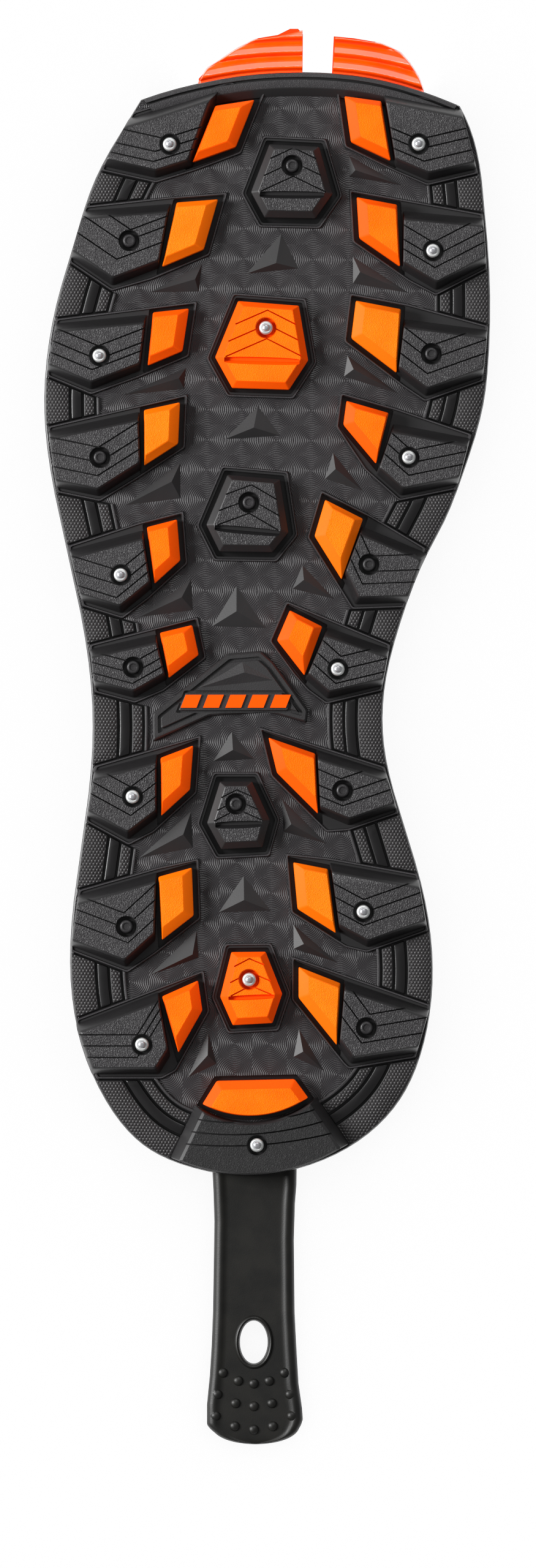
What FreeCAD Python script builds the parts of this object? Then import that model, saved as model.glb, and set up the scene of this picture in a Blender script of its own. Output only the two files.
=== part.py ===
"""Interchangeable studded outsole for a winter boot, right foot, with its heel pull-strap.

The tread faces +Z and the side that fits the boot lies on z = 0. +Y runs to the toe and +X to the
inner side of the foot. Lengths are millimetres. Each sub-part is one object whose Label is its name.
"""
import FreeCAD, Part

import os

import Sketcher
from FreeCAD import Vector

SIZES = (
    ("rib_rise", 2.0, "height of the stiffening ribs on the boot side of the plate"),
    ("plate_top", 4.5, "top of the carrier plate, where the rubber web starts"),
    ("skirt_level", 0.8, "lower edge of the rubber skirt that covers the plate's side"),
    ("floor_level", 9.0, "top of the rubber web, between the lugs"),
    ("plate_inset", 1.6, "thickness of the skirt, so how far the plate stays inside the outline"),
    ("rib_width", 3.0, "width of every rib"),
    ("lug_rise", 6.5, "height of the black lugs above the web"),
    ("lug_edge", 0.5, "chamfer on a black lug's top edge"),
    ("chip_rise", 6.3, "height of the orange chips above the web"),
    ("chip_edge", 1.2, "chamfer on an orange chip's top edge"),
    ("seat_depth", 1.5, "depth of the seats in the web for chips and pods"),
    ("recess_radius", 2.9, "radius of the well around each stud"),
    ("recess_depth", 2.6, "depth of the well around each stud"),
    ("pin_radius", 1.85, "radius of a stud's steel body, and of a blank peg"),
    ("foot_rise", 0.8, "thickness of a stud's foot flange"),
    ("pin_rise", 3.5, "top of a stud's steel body above the well's floor"),
    ("peg_rise", 2.4, "top of a blank peg above the well's floor"),
    ("tip_radius", 1.0, "radius of a stud's hard tip"),
    ("tip_depth", 2.0, "length of the hard tip inside the steel body"),
    ("tip_stand", 0.7, "length of the hard tip outside the steel body"),
    ("panel_rise", 1.6, "height of the arch panel above the web"),
    ("badge_rise", 0.5, "height of the plain bars on the arch panel"),
    ("strap_rise", 3.8, "thickness of the heel strap"),
    ("strap_level", 3.2, "height of the heel strap's mid-plane"),
    ("strap_left", -14.9, "outer side of the strap's web"),
    ("strap_span", 22.6, "width of the strap's web"),
    ("root_axis", -124.7, "place of the bend at the heel"),
    ("curl_axis", -157.0, "place of the bend ahead of the eyelet"),
    ("bend_gap", 0.3, "space between two strap lengths that turn on each other"),
    ("eyelet_half_width", 3.9, "half the eyelet's width"),
    ("eyelet_half_length", 6.25, "half the eyelet's length"),
    ("eyelet_x", -3.7, "eyelet's centre across the sole"),
    ("eyelet_y", -168.5, "eyelet's centre along the sole"),
    ("anchor_floor", 2.0, "underside of the strap's anchor"),
    ("anchor_left", -13.6, "outer side of the strap's anchor"),
    ("anchor_span", 20.0, "width of the strap's anchor"),
    ("anchor_top_end", -106.0, "inner end of the strap's anchor"),
    ("anchor_heel_end", -122.3, "heel end of the strap's anchor"),
    ("rivet_radius", 2.0, "radius of a rivet's shank"),
    ("rivet_head_radius", 3.5, "radius of a rivet's head"),
    ("rivet_head_rise", 1.0, "depth of the well that holds a rivet's head"),
    ("rivet_sink", 0.1, "how far a rivet's head stays below the boot side"),
    ("washer_radius", 4.0, "outer radius of a rivet's washer"),
    ("washer_rise", 0.6, "thickness of a rivet's washer"),
)

# The sole's edge: along the toe from the outer to the inner corner, then round the foot and back.
TOE_EDGE = (
    (-35.0, 176.9), (-28.0, 179.2), (-19.4, 181.4), (-8.0, 183.5), (4.0, 184.5),
    (18.0, 184.3), (30.0, 182.8), (43.5, 179.1), (53.5, 175.2),
)
FOOT_EDGE = (
    (53.5, 175.2), (57.4, 166.0), (60.4, 147.0), (61.9, 125.0), (61.5, 105.0), (60.2, 93.0),
    (55.1, 75.0), (49.3, 60.0), (43.9, 49.6), (37.3, 32.6), (32.8, 14.8), (32.4, -1.8),
    (36.1, -18.5), (43.0, -41.7), (46.0, -65.0), (44.0, -83.2), (36.8, -101.0), (23.5, -113.6),
    (8.6, -120.0), (-3.5, -122.0), (-19.8, -120.0), (-33.9, -113.8), (-45.1, -100.6),
    (-52.7, -81.1), (-54.7, -63.6), (-53.6, -45.0), (-49.8, -17.7), (-48.4, 3.6), (-50.2, 25.1),
    (-54.0, 44.7), (-57.7, 61.2), (-60.8, 78.2), (-61.9, 93.0), (-61.2, 104.8), (-58.5, 120.2),
    (-53.6, 137.1), (-48.0, 154.2), (-41.4, 166.6), (-35.0, 176.9),
)

# Black lugs, toe to heel: inner front, inner back, the point of the V, outer back, outer front.
LUGS_LEFT = (
    ((-16.0, 176.3), (-22.0, 159.8), (-31.0, 157.0), (-44.5, 160.0), (-39.6, 168.8)),
    ((-27.5, 145.5), (-30.0, 132.0), (-42.8, 127.2), (-54.0, 134.8), (-51.4, 143.6)),
    ((-34.0, 114.7), (-35.3, 103.5), (-48.8, 98.3), (-60.5, 103.2), (-59.0, 112.3)),
    ((-35.7, 87.7), (-35.3, 76.0), (-47.0, 68.6), (-58.6, 71.0), (-60.2, 82.5)),
    ((-34.4, 54.8), (-32.5, 43.0), (-40.8, 36.2), (-51.8, 39.6), (-54.2, 49.5)),
    ((-30.6, 26.0), (-28.5, 17.5), (-37.1, 12.6), (-48.0, 15.5), (-48.7, 21.9)),
    ((-30.8, -7.4), (-30.8, -20.5), (-38.7, -26.5), (-49.6, -20.5), (-48.2, -12.0)),
    ((-30.9, -40.3), (-31.3, -54.5), (-39.5, -62.0), (-54.0, -56.5), (-52.6, -46.5)),
    ((-30.0, -73.5), (-27.6, -86.5), (-31.0, -92.0), (-48.2, -92.0), (-51.8, -82.0)),
)
LUGS_RIGHT = (
    ((33.0, 176.0), (35.6, 160.2), (44.8, 156.3), (57.6, 159.3), (54.4, 171.6)),
    ((38.0, 143.5), (37.8, 131.5), (47.0, 126.0), (60.6, 133.0), (60.0, 141.5)),
    ((38.0, 113.5), (36.6, 102.5), (44.4, 96.5), (60.0, 102.0), (60.8, 110.5)),
    ((34.6, 84.5), (31.2, 74.5), (37.6, 68.8), (53.3, 72.0), (55.6, 80.5)),
    ((25.8, 56.0), (22.0, 46.0), (25.5, 38.5), (39.0, 39.0), (42.6, 49.0)),
    ((16.0, 28.0), (11.5, 17.5), (17.2, 12.4), (32.2, 16.0), (33.3, 22.0)),
    ((14.1, -6.3), (14.8, -19.5), (22.8, -22.8), (35.4, -18.5), (33.6, -12.5)),
    ((18.0, -37.6), (20.0, -52.3), (28.0, -56.6), (43.9, -51.0), (42.3, -42.0)),
    ((21.5, -70.3), (20.3, -84.0), (24.0, -89.0), (41.9, -86.0), (44.2, -78.0)),
)

# Orange chips beside the lugs: front outer, front inner, back inner, back outer.
CHIPS_LEFT = (
    ((-14.4, 175.0), (-3.4, 176.7), (-8.6, 163.5), (-20.8, 159.2)),
    ((-25.1, 148.2), (-13.5, 149.1), (-17.5, 135.1), (-29.2, 130.2)),
    ((-31.7, 117.7), (-21.6, 118.8), (-23.4, 106.9), (-33.2, 102.8)),
    ((-34.2, 90.6), (-24.1, 92.8), (-24.6, 81.2), (-34.2, 75.0)),
    ((-33.4, 58.1), (-24.9, 60.3), (-24.0, 48.8), (-31.3, 42.2)),
    ((-29.8, 28.8), (-20.7, 31.0), (-18.9, 22.6), (-27.3, 16.1)),
    ((-29.6, -5.9), (-20.4, -2.4), (-21.3, -14.8), (-29.4, -22.2)),
    ((-30.2, -38.9), (-20.8, -36.3), (-20.3, -49.7), (-29.2, -56.6)),
    ((-29.2, -72.1), (-19.1, -67.6), (-17.9, -76.0), (-24.6, -87.9)),
)
CHIPS_RIGHT = (
    ((21.4, 177.7), (31.7, 176.3), (34.4, 159.7), (23.2, 165.0)),
    ((24.8, 149.7), (36.1, 147.6), (37.0, 130.3), (25.5, 138.3)),
    ((24.6, 121.0), (37.2, 118.6), (36.0, 100.8), (23.3, 110.5)),
    ((22.0, 93.2), (33.8, 89.8), (30.3, 75.5), (21.1, 86.5)),
    ((16.1, 65.8), (26.7, 60.4), (20.7, 43.4), (13.1, 55.6)),
    ((6.3, 35.1), (15.4, 30.5), (10.4, 16.8), (2.7, 26.7)),
    ((0.3, -0.2), (13.4, -4.7), (14.2, -21.6), (2.7, -10.1)),
    ((7.2, -34.8), (16.9, -36.7), (19.2, -54.7), (8.4, -47.9)),
    ((8.7, -63.8), (20.4, -68.4), (19.4, -85.8), (8.7, -72.5)),
)

# Pods down the middle: six corners, clockwise from the front outer one.
PODS = {
    "pod_toe": ((0.6, 164.3), (14.4, 163.6), (18.2, 150.6), (13.4, 143.7), (-0.7, 144.0), (-4.5, 151.0)),
    "pod_ball": ((-8.0, 120.8), (8.8, 119.5), (11.4, 104.3), (6.1, 96.2), (-9.7, 96.7), (-14.4, 105.2)),
    "pod_waist": ((-11.0, 72.6), (3.6, 71.3), (5.9, 56.6), (1.5, 51.1), (-13.2, 51.3), (-16.9, 58.7)),
    "pod_arch": ((-13.1, -12.5), (-4.2, -12.5), (0.8, -23.2), (-1.3, -30.7), (-12.7, -31.3), (-16.7, -24.0)),
    "pod_heel": ((-9.9, -59.8), (-0.4, -59.7), (4.2, -71.4), (1.5, -79.5), (-9.5, -80.1), (-13.0, -72.2)),
}

# Stud wells. The first list holds steel studs with hard tips, the second plain moulded pegs.
STEEL_STUDS = {
    "lug_left_1": (-27.0, 164.2), "lug_right_1": (42.0, 164.3), "lug_right_2": (46.0, 134.7),
    "lug_left_3": (-46.5, 105.6), "lug_right_4": (39.3, 77.4), "lug_left_5": (-40.6, 44.8),
    "lug_right_6": (19.6, 18.7), "lug_left_7": (-37.3, -16.7), "lug_right_8": (26.7, -48.6),
    "lug_left_9": (-34.7, -85.4), "lug_heel": (-2.8, -113.3), "pod_ball": (-0.3, 113.3),
    "pod_heel": (-4.95, -67.4),
}
BLANK_PEGS = {
    "lug_left_2": (-38.2, 137.5), "lug_right_3": (45.6, 106.1), "lug_left_4": (-46.3, 77.4),
    "lug_right_5": (28.3, 47.7), "lug_left_6": (-37.1, 19.2), "lug_right_7": (21.0, -15.0),
    "lug_left_8": (-39.0, -52.7), "lug_right_9": (27.6, -80.8), "pod_toe": (7.0, 158.3),
    "pod_waist": (-5.0, 64.9), "pod_arch": (-8.6, -18.7),
}

# Heel: the arcs are given by their two ends and a point between them.
HEEL_CHIP = ((-14.0, -95.5), (7.7, -95.0), (11.5, -100.2), (-3.0, -105.3), (-18.0, -102.0))
HEEL_LUG = ((-17.5, -104.2), (-3.1, -107.4), (11.6, -102.2), (20.0, -114.4), (-2.0, -121.3), (-24.0, -117.8))

# Raised panel under the arch of the foot, and the slanted bars on it.
PANEL = (
    (-31.6, -1.2), (-31.7, 6.3), (-11.0, 22.8), (-1.8, 23.6), (1.6, 20.6), (11.2, 7.3), (10.8, 4.0),
    (0.0, 7.0), (-16.0, 5.9),
)
BADGE_BARS = 5
BADGE_FIRST = (-24.0, 8.0)
BADGE_PITCH = 6.2
BADGE_BAR = (4.4, 3.6, 1.4)

# Toe tabs, which hook into the boot: each runs on under the rubber as far as the root line.
TAB_ROOT = 176.0
TAB_LEFT = (
    (9.8, 184.5), (9.9, 195.4), (8.6, 196.9), (6.4, 196.9), (3.0, 195.2), (-2.5, 194.3), (-7.0, 192.0),
    (-15.8, 186.5), (-19.0, 183.0), (-18.6, 180.3),
)
TAB_RIGHT = (
    (18.1, 184.5), (18.6, 194.8), (24.0, 194.3), (30.0, 193.3), (35.0, 190.5), (41.0, 183.8), (43.0, 178.2),
)

# Slots through the skirt for the tabs and for the strap.
TAB_SLOT = ((-19.4, 170.0), (44.0, 170.0), (44.0, 190.0), (-19.4, 190.0))
STRAP_SLOT = ((-15.4, -125.0), (8.2, -125.0), (8.2, -118.0), (-15.4, -118.0))

# Heel strap's pull tab: its sides flare from the curl to the end, which is one arc.
PULL_TAB = ((-15.0, -160.0), (-15.4, -170.0), (-16.7, -186.0), (-15.6, -193.7))
PULL_TAB_TIP = (-3.6, -196.9)
PULL_TAB_BACK = ((8.4, -193.7), (9.8, -188.0), (8.1, -170.0), (7.6, -160.0))

CELL_ROWS = (-96.0, -72.0, -48.0, -24.0, 0.0, 24.0, 48.0, 72.0, 96.0, 120.0, 144.0, 168.0)
CELL_EDGE = 8.0
RIVET_X = (-9.5, 2.3)
RIVET_Y = -112.0

START = {alias: value for alias, value, meaning in SIZES}


def make_sheet(doc):
    """The driving dimensions, one to a row: name, value and meaning."""
    sheet = doc.addObject("Spreadsheet::Sheet", "sizes")
    for row, (alias, value, meaning) in enumerate(SIZES, 1):
        sheet.set(f"A{row}", alias)
        sheet.set(f"B{row}", str(value))
        sheet.set(f"C{row}", meaning)
        sheet.setAlias(f"B{row}", alias)
    doc.recompute()
    return sheet


def new_body(doc, label):
    """An empty body that carries the sub-part's name."""
    body = doc.addObject("PartDesign::Body", label)
    body.Label = label
    return body


def new_sketch(body, name, level="0", role="XY_Plane"):
    """A sketch on one of the body's own origin planes, lifted by an expression."""
    sketch = body.newObject("Sketcher::SketchObject", name)
    plane = next(item for item in body.Origin.OriginFeatures if item.Role == role)
    sketch.AttachmentSupport = (plane, "")
    sketch.MapMode = "FlatFace"
    sketch.setExpression("AttachmentOffset.Base.z", level)
    return sketch


def join_ends(sketch, edges):
    """Tie each edge's end to the next edge's start, all the way round."""
    for place, edge in enumerate(edges):
        following = edges[(place + 1) % len(edges)]
        sketch.addConstraint(Sketcher.Constraint("Coincident", edge, 2, following, 1))


def draw_polygon(sketch, corners):
    """A closed outline with straight sides."""
    points = [Vector(x, y, 0) for x, y in corners]
    pairs = zip(points, points[1:] + points[:1])
    edges = [sketch.addGeometry(Part.LineSegment(first, second), False) for first, second in pairs]
    join_ends(sketch, edges)


def draw_splines(sketch, *runs):
    """A closed outline made of smooth curves that meet at their ends."""
    edges = []
    for run in runs:
        curve = Part.BSplineCurve()
        curve.interpolate([Vector(x, y, 0) for x, y in run])
        edges.append(sketch.addGeometry(curve, False))
    join_ends(sketch, edges)


def bind(sketch, constraint, expression):
    """Add a constraint whose value follows an expression."""
    place = sketch.addConstraint(constraint)
    sketch.setExpression(f"Constraints[{place}]", expression)


def draw_circle(sketch, centre, alias):
    """A circle whose radius follows a cell."""
    radius = START[alias]
    circle = Part.Circle(Vector(centre[0], centre[1], 0), Vector(0, 0, 1), radius)
    edge = sketch.addGeometry(circle, False)
    bind(sketch, Sketcher.Constraint("Radius", edge, radius), f"sizes.{alias}")


def pad(body, sketch, name, rise):
    """Fill a sketch up from its plane."""
    feature = body.newObject("PartDesign::Pad", name)
    feature.Profile = sketch
    feature.setExpression("Length", rise)
    return feature


def pocket(doc, body, sketch, name, depth, reverse=False):
    """Cut a sketch down from its plane, and make sure that it took something away."""
    doc.recompute()
    before = body.Shape.Volume
    feature = body.newObject("PartDesign::Pocket", name)
    feature.Profile = sketch
    feature.setExpression("Length", depth)
    feature.Reversed = reverse
    doc.recompute()
    if body.Shape.Volume >= before:
        raise RuntimeError(f"{name} cut nothing")
    return feature


def chamfer_top(doc, body, feature, name, edge_size):
    """Bevel the edges of a feature's highest face."""
    doc.recompute()
    faces = feature.Shape.Faces
    highest = max(range(len(faces)), key=lambda i: faces[i].CenterOfMass.z)
    bevel = body.newObject("PartDesign::Chamfer", name)
    bevel.Base = (feature, [f"Face{highest + 1}"])
    bevel.setExpression("Size", edge_size)
    return bevel


def cut_well(doc, body, centre, top):
    """The round well that a stud or a peg stands in."""
    sketch = new_sketch(body, body.Label + "_well", top)
    draw_circle(sketch, centre, "recess_radius")
    pocket(doc, body, sketch, body.Label + "_well_cut", "sizes.recess_depth")


def inset(points, distance):
    """Move each point of a clockwise outline inwards, square to the line between its neighbours."""
    moved = []
    for place, (x, y) in enumerate(points):
        back = points[place - 1]
        ahead = points[(place + 1) % len(points)]
        along = Vector(ahead[0] - back[0], ahead[1] - back[1], 0)
        along.normalize()
        moved.append((x + along.y * distance, y - along.x * distance))
    return moved


def inset_runs(distance):
    """The sole's edge moved inwards, as a toe run and a foot run that still meet at the corners."""
    ring = inset(list(TOE_EDGE) + list(FOOT_EDGE[1:-1]), distance)
    toe = ring[:len(TOE_EDGE)]
    foot = ring[len(TOE_EDGE) - 1:] + ring[:1]
    return toe, foot


def edge_x(level, inner):
    """Where the sole's edge crosses a line across the foot, on the inner or the outer side."""
    crossings = []
    for (x0, y0), (x1, y1) in zip(FOOT_EDGE, FOOT_EDGE[1:]):
        if (y0 - level) * (y1 - level) <= 0 and y0 != y1:
            crossings.append(x0 + (x1 - x0) * (level - y0) / (y1 - y0))
    return max(crossings) if inner else min(crossings)


def rib_cells(width):
    """The hollows between the plate's ribs: two or four to a row, either side of the middle rib."""
    cells = []
    for low, high in zip(CELL_ROWS, CELL_ROWS[1:]):
        bottom = low + width / 2
        top = high - width / 2
        for inner in (False, True):
            side = 1 if inner else -1
            spine = side * width / 2
            rim_low = edge_x(bottom, inner) - side * CELL_EDGE
            rim_high = edge_x(top, inner) - side * CELL_EDGE
            mid_low = (spine + rim_low - side * width) / 2
            mid_high = (spine + rim_high - side * width) / 2
            near = ((spine, bottom), (mid_low, bottom), (mid_high, top), (spine, top))
            far_low = mid_low + side * width
            far_high = mid_high + side * width
            far = ((far_low, bottom), (rim_low, bottom), (rim_high, top), (far_high, top))
            cells.append(near)
            cells.append(far)
    return cells


def make_plate(doc, sheet):
    """The stiff carrier plate: ribbed on the boot side, with two hooked tabs ahead of the toe."""
    body = new_body(doc, "carrier_plate")
    sketch = new_sketch(body, "plate_outline")
    draw_splines(sketch, *inset_runs(sheet.plate_inset))
    pad(body, sketch, "plate_blank", "sizes.plate_top")
    for name, corners in (("tab_left", TAB_LEFT), ("tab_right", TAB_RIGHT)):
        sketch = new_sketch(body, name + "_outline")
        draw_polygon(sketch, corners + ((corners[-1][0], TAB_ROOT), (corners[0][0], TAB_ROOT)))
        pad(body, sketch, name, "sizes.plate_top")
    sketch = new_sketch(body, "rib_cells")
    for cell in rib_cells(sheet.rib_width):
        draw_polygon(sketch, cell)
    pocket(doc, body, sketch, "rib_cell_cut", "sizes.rib_rise", reverse=True)
    sketch = new_sketch(body, "anchor_slot", "sizes.anchor_floor")
    left = sheet.anchor_left
    right = left + sheet.anchor_span
    end = sheet.anchor_top_end
    heel = sheet.anchor_heel_end - 1
    draw_polygon(sketch, ((left, end), (right, end), (right, heel), (left, heel)))
    pocket(doc, body, sketch, "anchor_slot_cut", "sizes.plate_top - sizes.anchor_floor", reverse=True)
    for place, x in enumerate(RIVET_X):
        sketch = new_sketch(body, f"rivet_head_{place}")
        draw_circle(sketch, (x, RIVET_Y), "rivet_head_radius")
        pocket(doc, body, sketch, f"rivet_head_cut_{place}", "sizes.rivet_head_rise", reverse=True)
        sketch = new_sketch(body, f"rivet_hole_{place}")
        draw_circle(sketch, (x, RIVET_Y), "rivet_radius")
        pocket(doc, body, sketch, f"rivet_hole_cut_{place}", "sizes.anchor_floor", reverse=True)
    return body


def make_web(doc, sheet):
    """The rubber web and its skirt, with slots for the tabs and the strap, and seats for chips and pods."""
    body = new_body(doc, "outsole_web")
    sketch = new_sketch(body, "web_outline", "sizes.skirt_level")
    draw_splines(sketch, TOE_EDGE, FOOT_EDGE)
    pad(body, sketch, "web_blank", "sizes.floor_level - sizes.skirt_level")
    sketch = new_sketch(body, "strap_slot", "sizes.skirt_level")
    draw_polygon(sketch, STRAP_SLOT)
    slot_rise = "sizes.strap_level + sizes.strap_rise / 2 + sizes.bend_gap - sizes.skirt_level"
    pocket(doc, body, sketch, "strap_slot_cut", slot_rise, reverse=True)
    sketch = new_sketch(body, "tab_slot", "sizes.skirt_level")
    draw_polygon(sketch, TAB_SLOT)
    pocket(doc, body, sketch, "tab_slot_cut", "sizes.plate_top - sizes.skirt_level", reverse=True)
    sketch = new_sketch(body, "plate_seat", "sizes.skirt_level")
    draw_splines(sketch, *inset_runs(sheet.plate_inset))
    pocket(doc, body, sketch, "plate_seat_cut", "sizes.plate_top - sizes.skirt_level", reverse=True)
    sketch = new_sketch(body, "web_seats", "sizes.floor_level")
    for corners in CHIPS_LEFT + CHIPS_RIGHT + tuple(PODS.values()):
        draw_polygon(sketch, corners)
    draw_heel_chip(sketch)
    pocket(doc, body, sketch, "web_seat_cut", "sizes.seat_depth")
    return body


def draw_arc_outline(sketch, parts):
    """A closed outline of straight sides and arcs: two points make a side and three make an arc."""
    for part, following in zip(parts, parts[1:] + parts[:1]):
        if part[-1] != following[0]:
            raise ValueError("the outline is open")
        points = [Vector(x, y, 0) for x, y in part]
        line = Part.Arc(*points) if len(points) == 3 else Part.LineSegment(*points)
        sketch.addGeometry(line, False)


def draw_heel_chip(sketch):
    """The heel chip's outline, whose back edge is an arc."""
    front_left, front_right, right, back, left = HEEL_CHIP
    parts = [(front_left, front_right), (front_right, right), (right, back, left), (left, front_left)]
    draw_arc_outline(sketch, parts)


def draw_heel_lug(sketch):
    """The heel lug's outline: an arc beside the chip and a longer one along the sole's edge."""
    left, front, right, back_right, back, back_left = HEEL_LUG
    parts = [(left, front, right), (right, back_right), (back_right, back, back_left)]
    draw_arc_outline(sketch, parts + [(back_left, left)])


def make_block(doc, label, corners, base, rise, edge_size):
    """A lug, chip or pod: a raised outline with a bevelled top, and a stud well if it has one."""
    body = new_body(doc, label)
    sketch = new_sketch(body, label + "_outline", base)
    if callable(corners):
        corners(sketch)
    else:
        draw_polygon(sketch, corners)
    blank = pad(body, sketch, label + "_blank", rise)
    chamfer_top(doc, body, blank, label + "_bevel", edge_size)
    doc.recompute()
    centre = STEEL_STUDS.get(label) or BLANK_PEGS.get(label)
    if centre:
        cut_well(doc, body, centre, f"{base} + {rise}")
    return body


def make_tread(doc):
    """Every lug, chip and pod."""
    seat = "sizes.floor_level - sizes.seat_depth"
    lug_form = ("sizes.floor_level", "sizes.lug_rise", "sizes.lug_edge")
    chip_form = (seat, "sizes.chip_rise + sizes.seat_depth", "sizes.chip_edge")
    pod_form = (seat, "sizes.lug_rise + sizes.seat_depth", "sizes.chip_edge")
    blocks = []
    for side, lugs, chips in (("left", LUGS_LEFT, CHIPS_LEFT), ("right", LUGS_RIGHT, CHIPS_RIGHT)):
        for number, (lug, chip) in enumerate(zip(lugs, chips), 1):
            blocks.append(make_block(doc, f"lug_{side}_{number}", lug, *lug_form))
            blocks.append(make_block(doc, f"chip_{side}_{number}", chip, *chip_form))
    blocks.append(make_block(doc, "lug_heel", draw_heel_lug, *lug_form))
    blocks.append(make_block(doc, "chip_heel", draw_heel_chip, *chip_form))
    for name, corners in PODS.items():
        blocks.append(make_block(doc, name, corners, *pod_form))
    return blocks


def make_panel(doc):
    """The raised panel under the arch and the row of plain bars that decorates it."""
    body = new_body(doc, "arch_panel")
    sketch = new_sketch(body, "arch_panel_outline", "sizes.floor_level")
    draw_polygon(sketch, PANEL)
    blank = pad(body, sketch, "arch_panel_blank", "sizes.panel_rise")
    chamfer_top(doc, body, blank, "arch_panel_bevel", "sizes.badge_rise")
    length, height, slant = BADGE_BAR
    bars = []
    for number in range(BADGE_BARS):
        bar = new_body(doc, f"badge_bar_{number}")
        sketch = new_sketch(bar, f"badge_bar_outline_{number}", "sizes.floor_level + sizes.panel_rise")
        x = BADGE_FIRST[0] + number * BADGE_PITCH
        y = BADGE_FIRST[1]
        back = ((x, y), (x + length, y))
        front = ((x + length + slant, y + height), (x + slant, y + height))
        draw_polygon(sketch, back + front)
        pad(bar, sketch, f"badge_bar_blank_{number}", "sizes.badge_rise")
        bars.append(bar)
    return body, make_group(doc, "arch_badge", bars)


def make_group(doc, label, members):
    """Several like solids under one name."""
    group = doc.addObject("Part::Compound", label)
    group.Label = label
    group.Links = members
    return group


HEAD_RISE = "sizes.rivet_head_rise - sizes.rivet_sink"
SHANK_RISE = "sizes.plate_top - sizes.rivet_sink"


def make_cylinder(doc, name, centre, level, radius, rise):
    """An upright cylinder whose radius, height and level follow expressions."""
    cylinder = doc.addObject("Part::Cylinder", name)
    cylinder.Placement.Base = Vector(centre[0], centre[1], 0)
    cylinder.setExpression("Placement.Base.z", level)
    cylinder.setExpression("Radius", radius)
    cylinder.setExpression("Height", rise)
    return cylinder


def make_fuse(doc, name, shapes):
    """One solid out of several that touch."""
    fused = doc.addObject("Part::MultiFuse", name)
    fused.Shapes = shapes
    return fused


def make_cut(doc, name, base, tool):
    """A solid less its tool."""
    cut = doc.addObject("Part::Cut", name)
    cut.Base = base
    cut.Tool = tool
    return cut


def make_jacket(doc, place, centre, well, bore_level):
    """One stud's steel body: a foot flange and a pin, bored for the tip."""
    foot = make_cylinder(doc, "foot_" + place, centre, well, "sizes.recess_radius", "sizes.foot_rise")
    pin = make_cylinder(doc, "pin_" + place, centre, well, "sizes.pin_radius", "sizes.pin_rise")
    bore = make_cylinder(doc, "bore_" + place, centre, bore_level, "sizes.tip_radius", "sizes.tip_depth")
    return make_cut(doc, "jacket_" + place, make_fuse(doc, "solid_" + place, [foot, pin]), bore)


def make_studs(doc):
    """Steel stud bodies, their hard tips, and the blank pegs."""
    well = "sizes.floor_level + sizes.lug_rise - sizes.recess_depth"
    bore_level = well + " + sizes.pin_rise - sizes.tip_depth"
    tip_rise = "sizes.tip_depth + sizes.tip_stand"
    jackets = []
    tips = []
    for place, centre in STEEL_STUDS.items():
        jackets.append(make_jacket(doc, place, centre, well, bore_level))
        tips.append(make_cylinder(doc, "tip_" + place, centre, bore_level, "sizes.tip_radius", tip_rise))
    pegs = []
    for place, centre in BLANK_PEGS.items():
        pegs.append(make_cylinder(doc, "peg_" + place, centre, well, "sizes.pin_radius", "sizes.peg_rise"))
    jacket_group = make_group(doc, "stud_jackets", jackets)
    tip_group = make_group(doc, "stud_tips", tips)
    return jacket_group, tip_group, make_group(doc, "blank_pegs", pegs)


def make_rivet(doc, place, centre):
    """A rivet from its countersunk head to its closed end, and the washer at that end."""
    sink = "sizes.rivet_sink"
    head = make_cylinder(doc, f"head_{place}", centre, sink, "sizes.rivet_head_radius", HEAD_RISE)
    shank = make_cylinder(doc, f"shank_{place}", centre, sink, "sizes.rivet_radius", SHANK_RISE)
    level = "sizes.plate_top - sizes.washer_rise"
    disc = make_cylinder(doc, f"disc_{place}", centre, level, "sizes.washer_radius", "sizes.washer_rise")
    hole = make_cylinder(doc, f"disc_hole_{place}", centre, level, "sizes.rivet_radius", "sizes.washer_rise")
    return make_fuse(doc, f"rivet_{place}", [head, shank]), make_cut(doc, f"washer_{place}", disc, hole)


def make_anchor(doc, sheet):
    """The strap's flat anchor, clamped between plate and web, with its two rivets and washers."""
    body = new_body(doc, "strap_anchor")
    sketch = new_sketch(body, "strap_anchor_outline", "sizes.anchor_floor")
    left = sheet.anchor_left
    right = left + sheet.anchor_span
    end = sheet.anchor_top_end
    heel = sheet.anchor_heel_end
    draw_polygon(sketch, ((left, end), (right, end), (right, heel), (left, heel)))
    pad(body, sketch, "strap_anchor_blank", "sizes.plate_top - sizes.anchor_floor")
    rivets = []
    washers = []
    for place, x in enumerate(RIVET_X):
        sketch = new_sketch(body, f"anchor_washer_{place}", "sizes.plate_top")
        draw_circle(sketch, (x, RIVET_Y), "washer_radius")
        pocket(doc, body, sketch, f"anchor_washer_cut_{place}", "sizes.washer_rise")
        sketch = new_sketch(body, f"anchor_hole_{place}", "sizes.plate_top")
        draw_circle(sketch, (x, RIVET_Y), "rivet_radius")
        pocket(doc, body, sketch, f"anchor_hole_cut_{place}", "sizes.plate_top - sizes.anchor_floor")
        rivet, washer = make_rivet(doc, place, (x, RIVET_Y))
        rivets.append(rivet)
        washers.append(washer)
    return body, make_group(doc, "anchor_rivets", rivets), make_group(doc, "anchor_washers", washers)


def add_round_end(body, axis):
    """The half-round end on which a length of strap turns, across the width of the strap."""
    sketch = new_sketch(body, body.Label + "_end", "sizes.strap_left", role="YZ_Plane")
    radius = START["strap_rise"] / 2
    along = START[axis]
    level = START["strap_level"]
    edge = sketch.addGeometry(Part.Circle(Vector(along, level, 0), Vector(0, 0, 1), radius), False)
    bind(sketch, Sketcher.Constraint("DistanceX", edge, 3, -1, 1, -along), f"-sizes.{axis}")
    bind(sketch, Sketcher.Constraint("DistanceY", -1, 1, edge, 3, level), "sizes.strap_level")
    bind(sketch, Sketcher.Constraint("Radius", edge, radius), "sizes.strap_rise / 2")
    pad(body, sketch, body.Label + "_end_round", "sizes.strap_span")


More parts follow.
